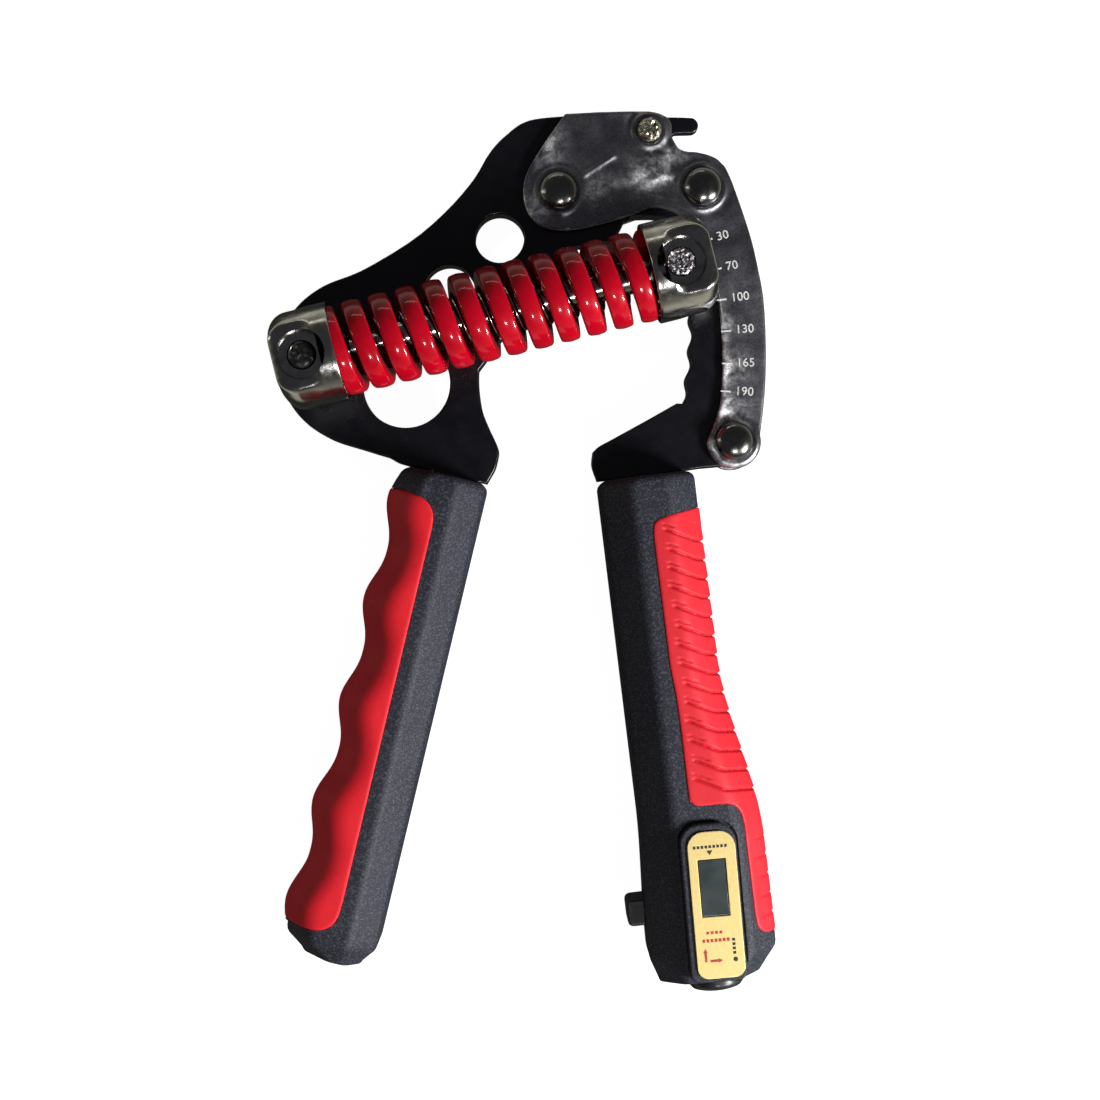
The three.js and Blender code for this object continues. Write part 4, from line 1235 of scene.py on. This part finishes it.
def add_plunger():
    """A flat tab with a bore that takes its return spring."""
    p = PLUNGER
    outline = rounded(bar(p["out"] + p["length"] / 2, -p["s"], p["length"], 2 * p["half_h"]), 1.5, 6)
    tab = flat_piece("plunger_tab", [outline], HANDLE_MID - p["half_d"], HANDLE_MID + p["half_d"], 0.6)
    bore = about_x(cylinder(2.7, -4.3, 1, 40))
    carved(tab, moved(bore, at(p["out"] + p["length"], -p["s"], HANDLE_MID)))
    settle(tab, RIGHT_HANDLE, "plunger", BLACK_PLASTIC, ["count_plunger"])


def add_knob():
    """A shallow dish on a stem, with a groove beneath that takes its return spring."""
    r, foot = KNOB["r"], KNOB["floor"] + KNOB["travel"]
    depth = KNOB["out"] - foot
    stem = [(0, -3.2), (1.6, -3.2), (1.8, -3.0), (1.8, 2.2), (4.0, 2.2), (4.0, 0)]
    dish = [(r - 0.2, 0), (r, 0.2), (r, depth - 1.5), (r - 0.15, depth - 0.8), (r - 0.6, depth - 0.25),
            (r - 1.3, depth), (r - 1.9, depth - 0.12), (r - 2.3, depth - 0.4), (0, depth - 0.4)]
    knob = moved(lathe("reset_knob", stem + dish, 96), at(KNOB["t"], -foot, KNOB["z"], 90, "X"))
    settle(knob, RIGHT_HANDLE, "reset", BLACK_PLASTIC, ["reset_button"])


def dress_hidden_nodes():
    """The CAD pieces inside the tool keep their shape and take a material."""
    looks = (
        (ZINC, ("pivot_bush", "lever_spacer_front", "lever_spacer_back")),
        (BLACK_PLASTIC, ("lcd_module", "count_switch", "reset_switch")),
        (BRIGHT_CHROME, ("button_cell_1", "button_cell_2", "plunger_spring", "reset_spring")),
        (BOARD, ("counter_board",)),
    )
    for look, nodes in looks:
        for node in nodes:
            mesh = frame["nodes"][node].data
            mesh.materials.clear()
            mesh.materials.append(look)


# ------------------------------------------------------------------ floor, light and camera


def add_stage():
    """A pale floor that glows softly, so that shadows on it stay faint; clear from below."""
    half, below = 6.0, -0.0003
    corners = [(-half, -half, below), (half, -half, below), (half, half, below), (-half, half, below)]
    floor = from_faces("floor", corners, [(0, 1, 2, 3)])
    look = Look("pale_floor", Roughness=0.9, Emission_Color=(1, 1, 1, 1), Emission_Strength=0.97)
    look.clouded((300.0,), (0.29, 0.29, 0.29), (0.31, 0.31, 0.31))
    turned_away = look.add("NewGeometry").outputs["Backfacing"]
    clear = look.add("BsdfTransparent").outputs[0]
    seen = look.add("MixShader", {0: turned_away, 1: look.shader.outputs[0], 2: clear})
    look.tree.links.new(seen.outputs[0], look.tree.nodes["Material Output"].inputs["Surface"])
    floor.data.materials.append(look.material)
    floor.visible_diffuse = False
    floor.visible_glossy = False


def add_light(name, place, power, width, height, colour=(1, 1, 1), mirrored_only=True):
    data = bpy.data.lights.new(name, "AREA")
    data.shape = "RECTANGLE"
    data.size = width
    data.size_y = height
    data.energy = power
    data.color = colour
    lamp = linked(name, data)
    lamp.location = place
    lamp.rotation_euler = (-Vector(place)).to_track_quat("-Z", "Y").to_euler()
    lamp.visible_diffuse = not mirrored_only


ROOM = {  # what metal mirrors, from straight down (0) past the horizon (0.5) to straight up (1)
    0.30: (0.04, 0.04, 0.035), 0.35: (0.66, 0.64, 0.55), 0.43: (0.66, 0.64, 0.55),
    0.50: (0.34, 0.33, 0.29), 0.60: (0.20, 0.195, 0.16), 0.72: (0.06, 0.06, 0.052),
    0.95: (0.05, 0.05, 0.06),
}
BACKDROP = (0.94, 0.94, 0.94)
AMBIENT = (0.12, 0.12, 0.125)


def add_world():
    """A pale backdrop for the camera, a dark room for metal to mirror, and a little even light."""
    world = bpy.data.worlds.new("studio")
    bpy.context.scene.world = world
    world.use_nodes = True
    tree = world.node_tree
    split = add_node(tree, "SeparateXYZ", {0: add_node(tree, "TexCoord").outputs["Generated"]})
    height = add_node(tree, "MapRange", {"Value": split.outputs["Z"], "From Min": -1.0})
    ramp = add_node(tree, "ValToRGB", {"Fac": height.outputs["Result"]})
    stops = ramp.color_ramp.elements
    stops.remove(stops[1])
    for i, (position, colour) in enumerate(ROOM.items()):
        stop = stops[0] if i == 0 else stops.new(position)
        stop.position = position
        stop.color = (*colour, 1)
    ray = add_node(tree, "LightPath").outputs
    inputs = {"Factor": ray["Is Glossy Ray"], 6: (*AMBIENT, 1), 7: ramp.outputs["Color"]}
    room = add_node(tree, "Mix", inputs, data_type="RGBA")
    inputs = {"Factor": ray["Is Camera Ray"], 6: room.outputs[2], 7: (*BACKDROP, 1)}
    seen = add_node(tree, "Mix", inputs, data_type="RGBA")
    tree.links.new(seen.outputs[2], tree.nodes["Background"].inputs["Color"])


def add_camera():
    """Looks straight down; at plane_z the picture is field millimetres wide."""
    height, plane_z, field = 380.0, 9.5, 249.7
    data = bpy.data.cameras.new("camera")
    data.angle = 2 * math.atan(field / 2 / height)
    data.shift_x = 0.0136
    data.clip_start = 0.01
    data.clip_end = 20
    camera = linked("camera", data)
    camera.location = Vector((2.4, -0.3, plane_z + height)) * MM
    bpy.context.scene.camera = camera


def add_lights():
    add_light("key", (0.46, -0.26, 0.34), 5.9, 0.14, 0.14, mirrored_only=False)
    add_light("window", (0.15, -0.56, 0.76), 2.2, 0.15, 0.12)
    add_light("top_strip", (-0.15, 0.9, 0.28), 0.3, 0.7, 0.05, (1, 0.97, 0.88))
    add_light("left_strip", (-0.9, 0.15, 0.22), 0.7, 0.05, 0.7, (1, 0.95, 0.82))


add_camera()
add_world()
add_lights()
add_stage()
add_arms()
add_brackets()
add_rivets()
add_lever_screw()
add_scale()
add_strut()
add_left_handle()
add_right_handle()
add_counter()
add_plunger()
add_knob()
dress_hidden_nodes()

bpy.context.scene.view_settings.view_transform = "Standard"
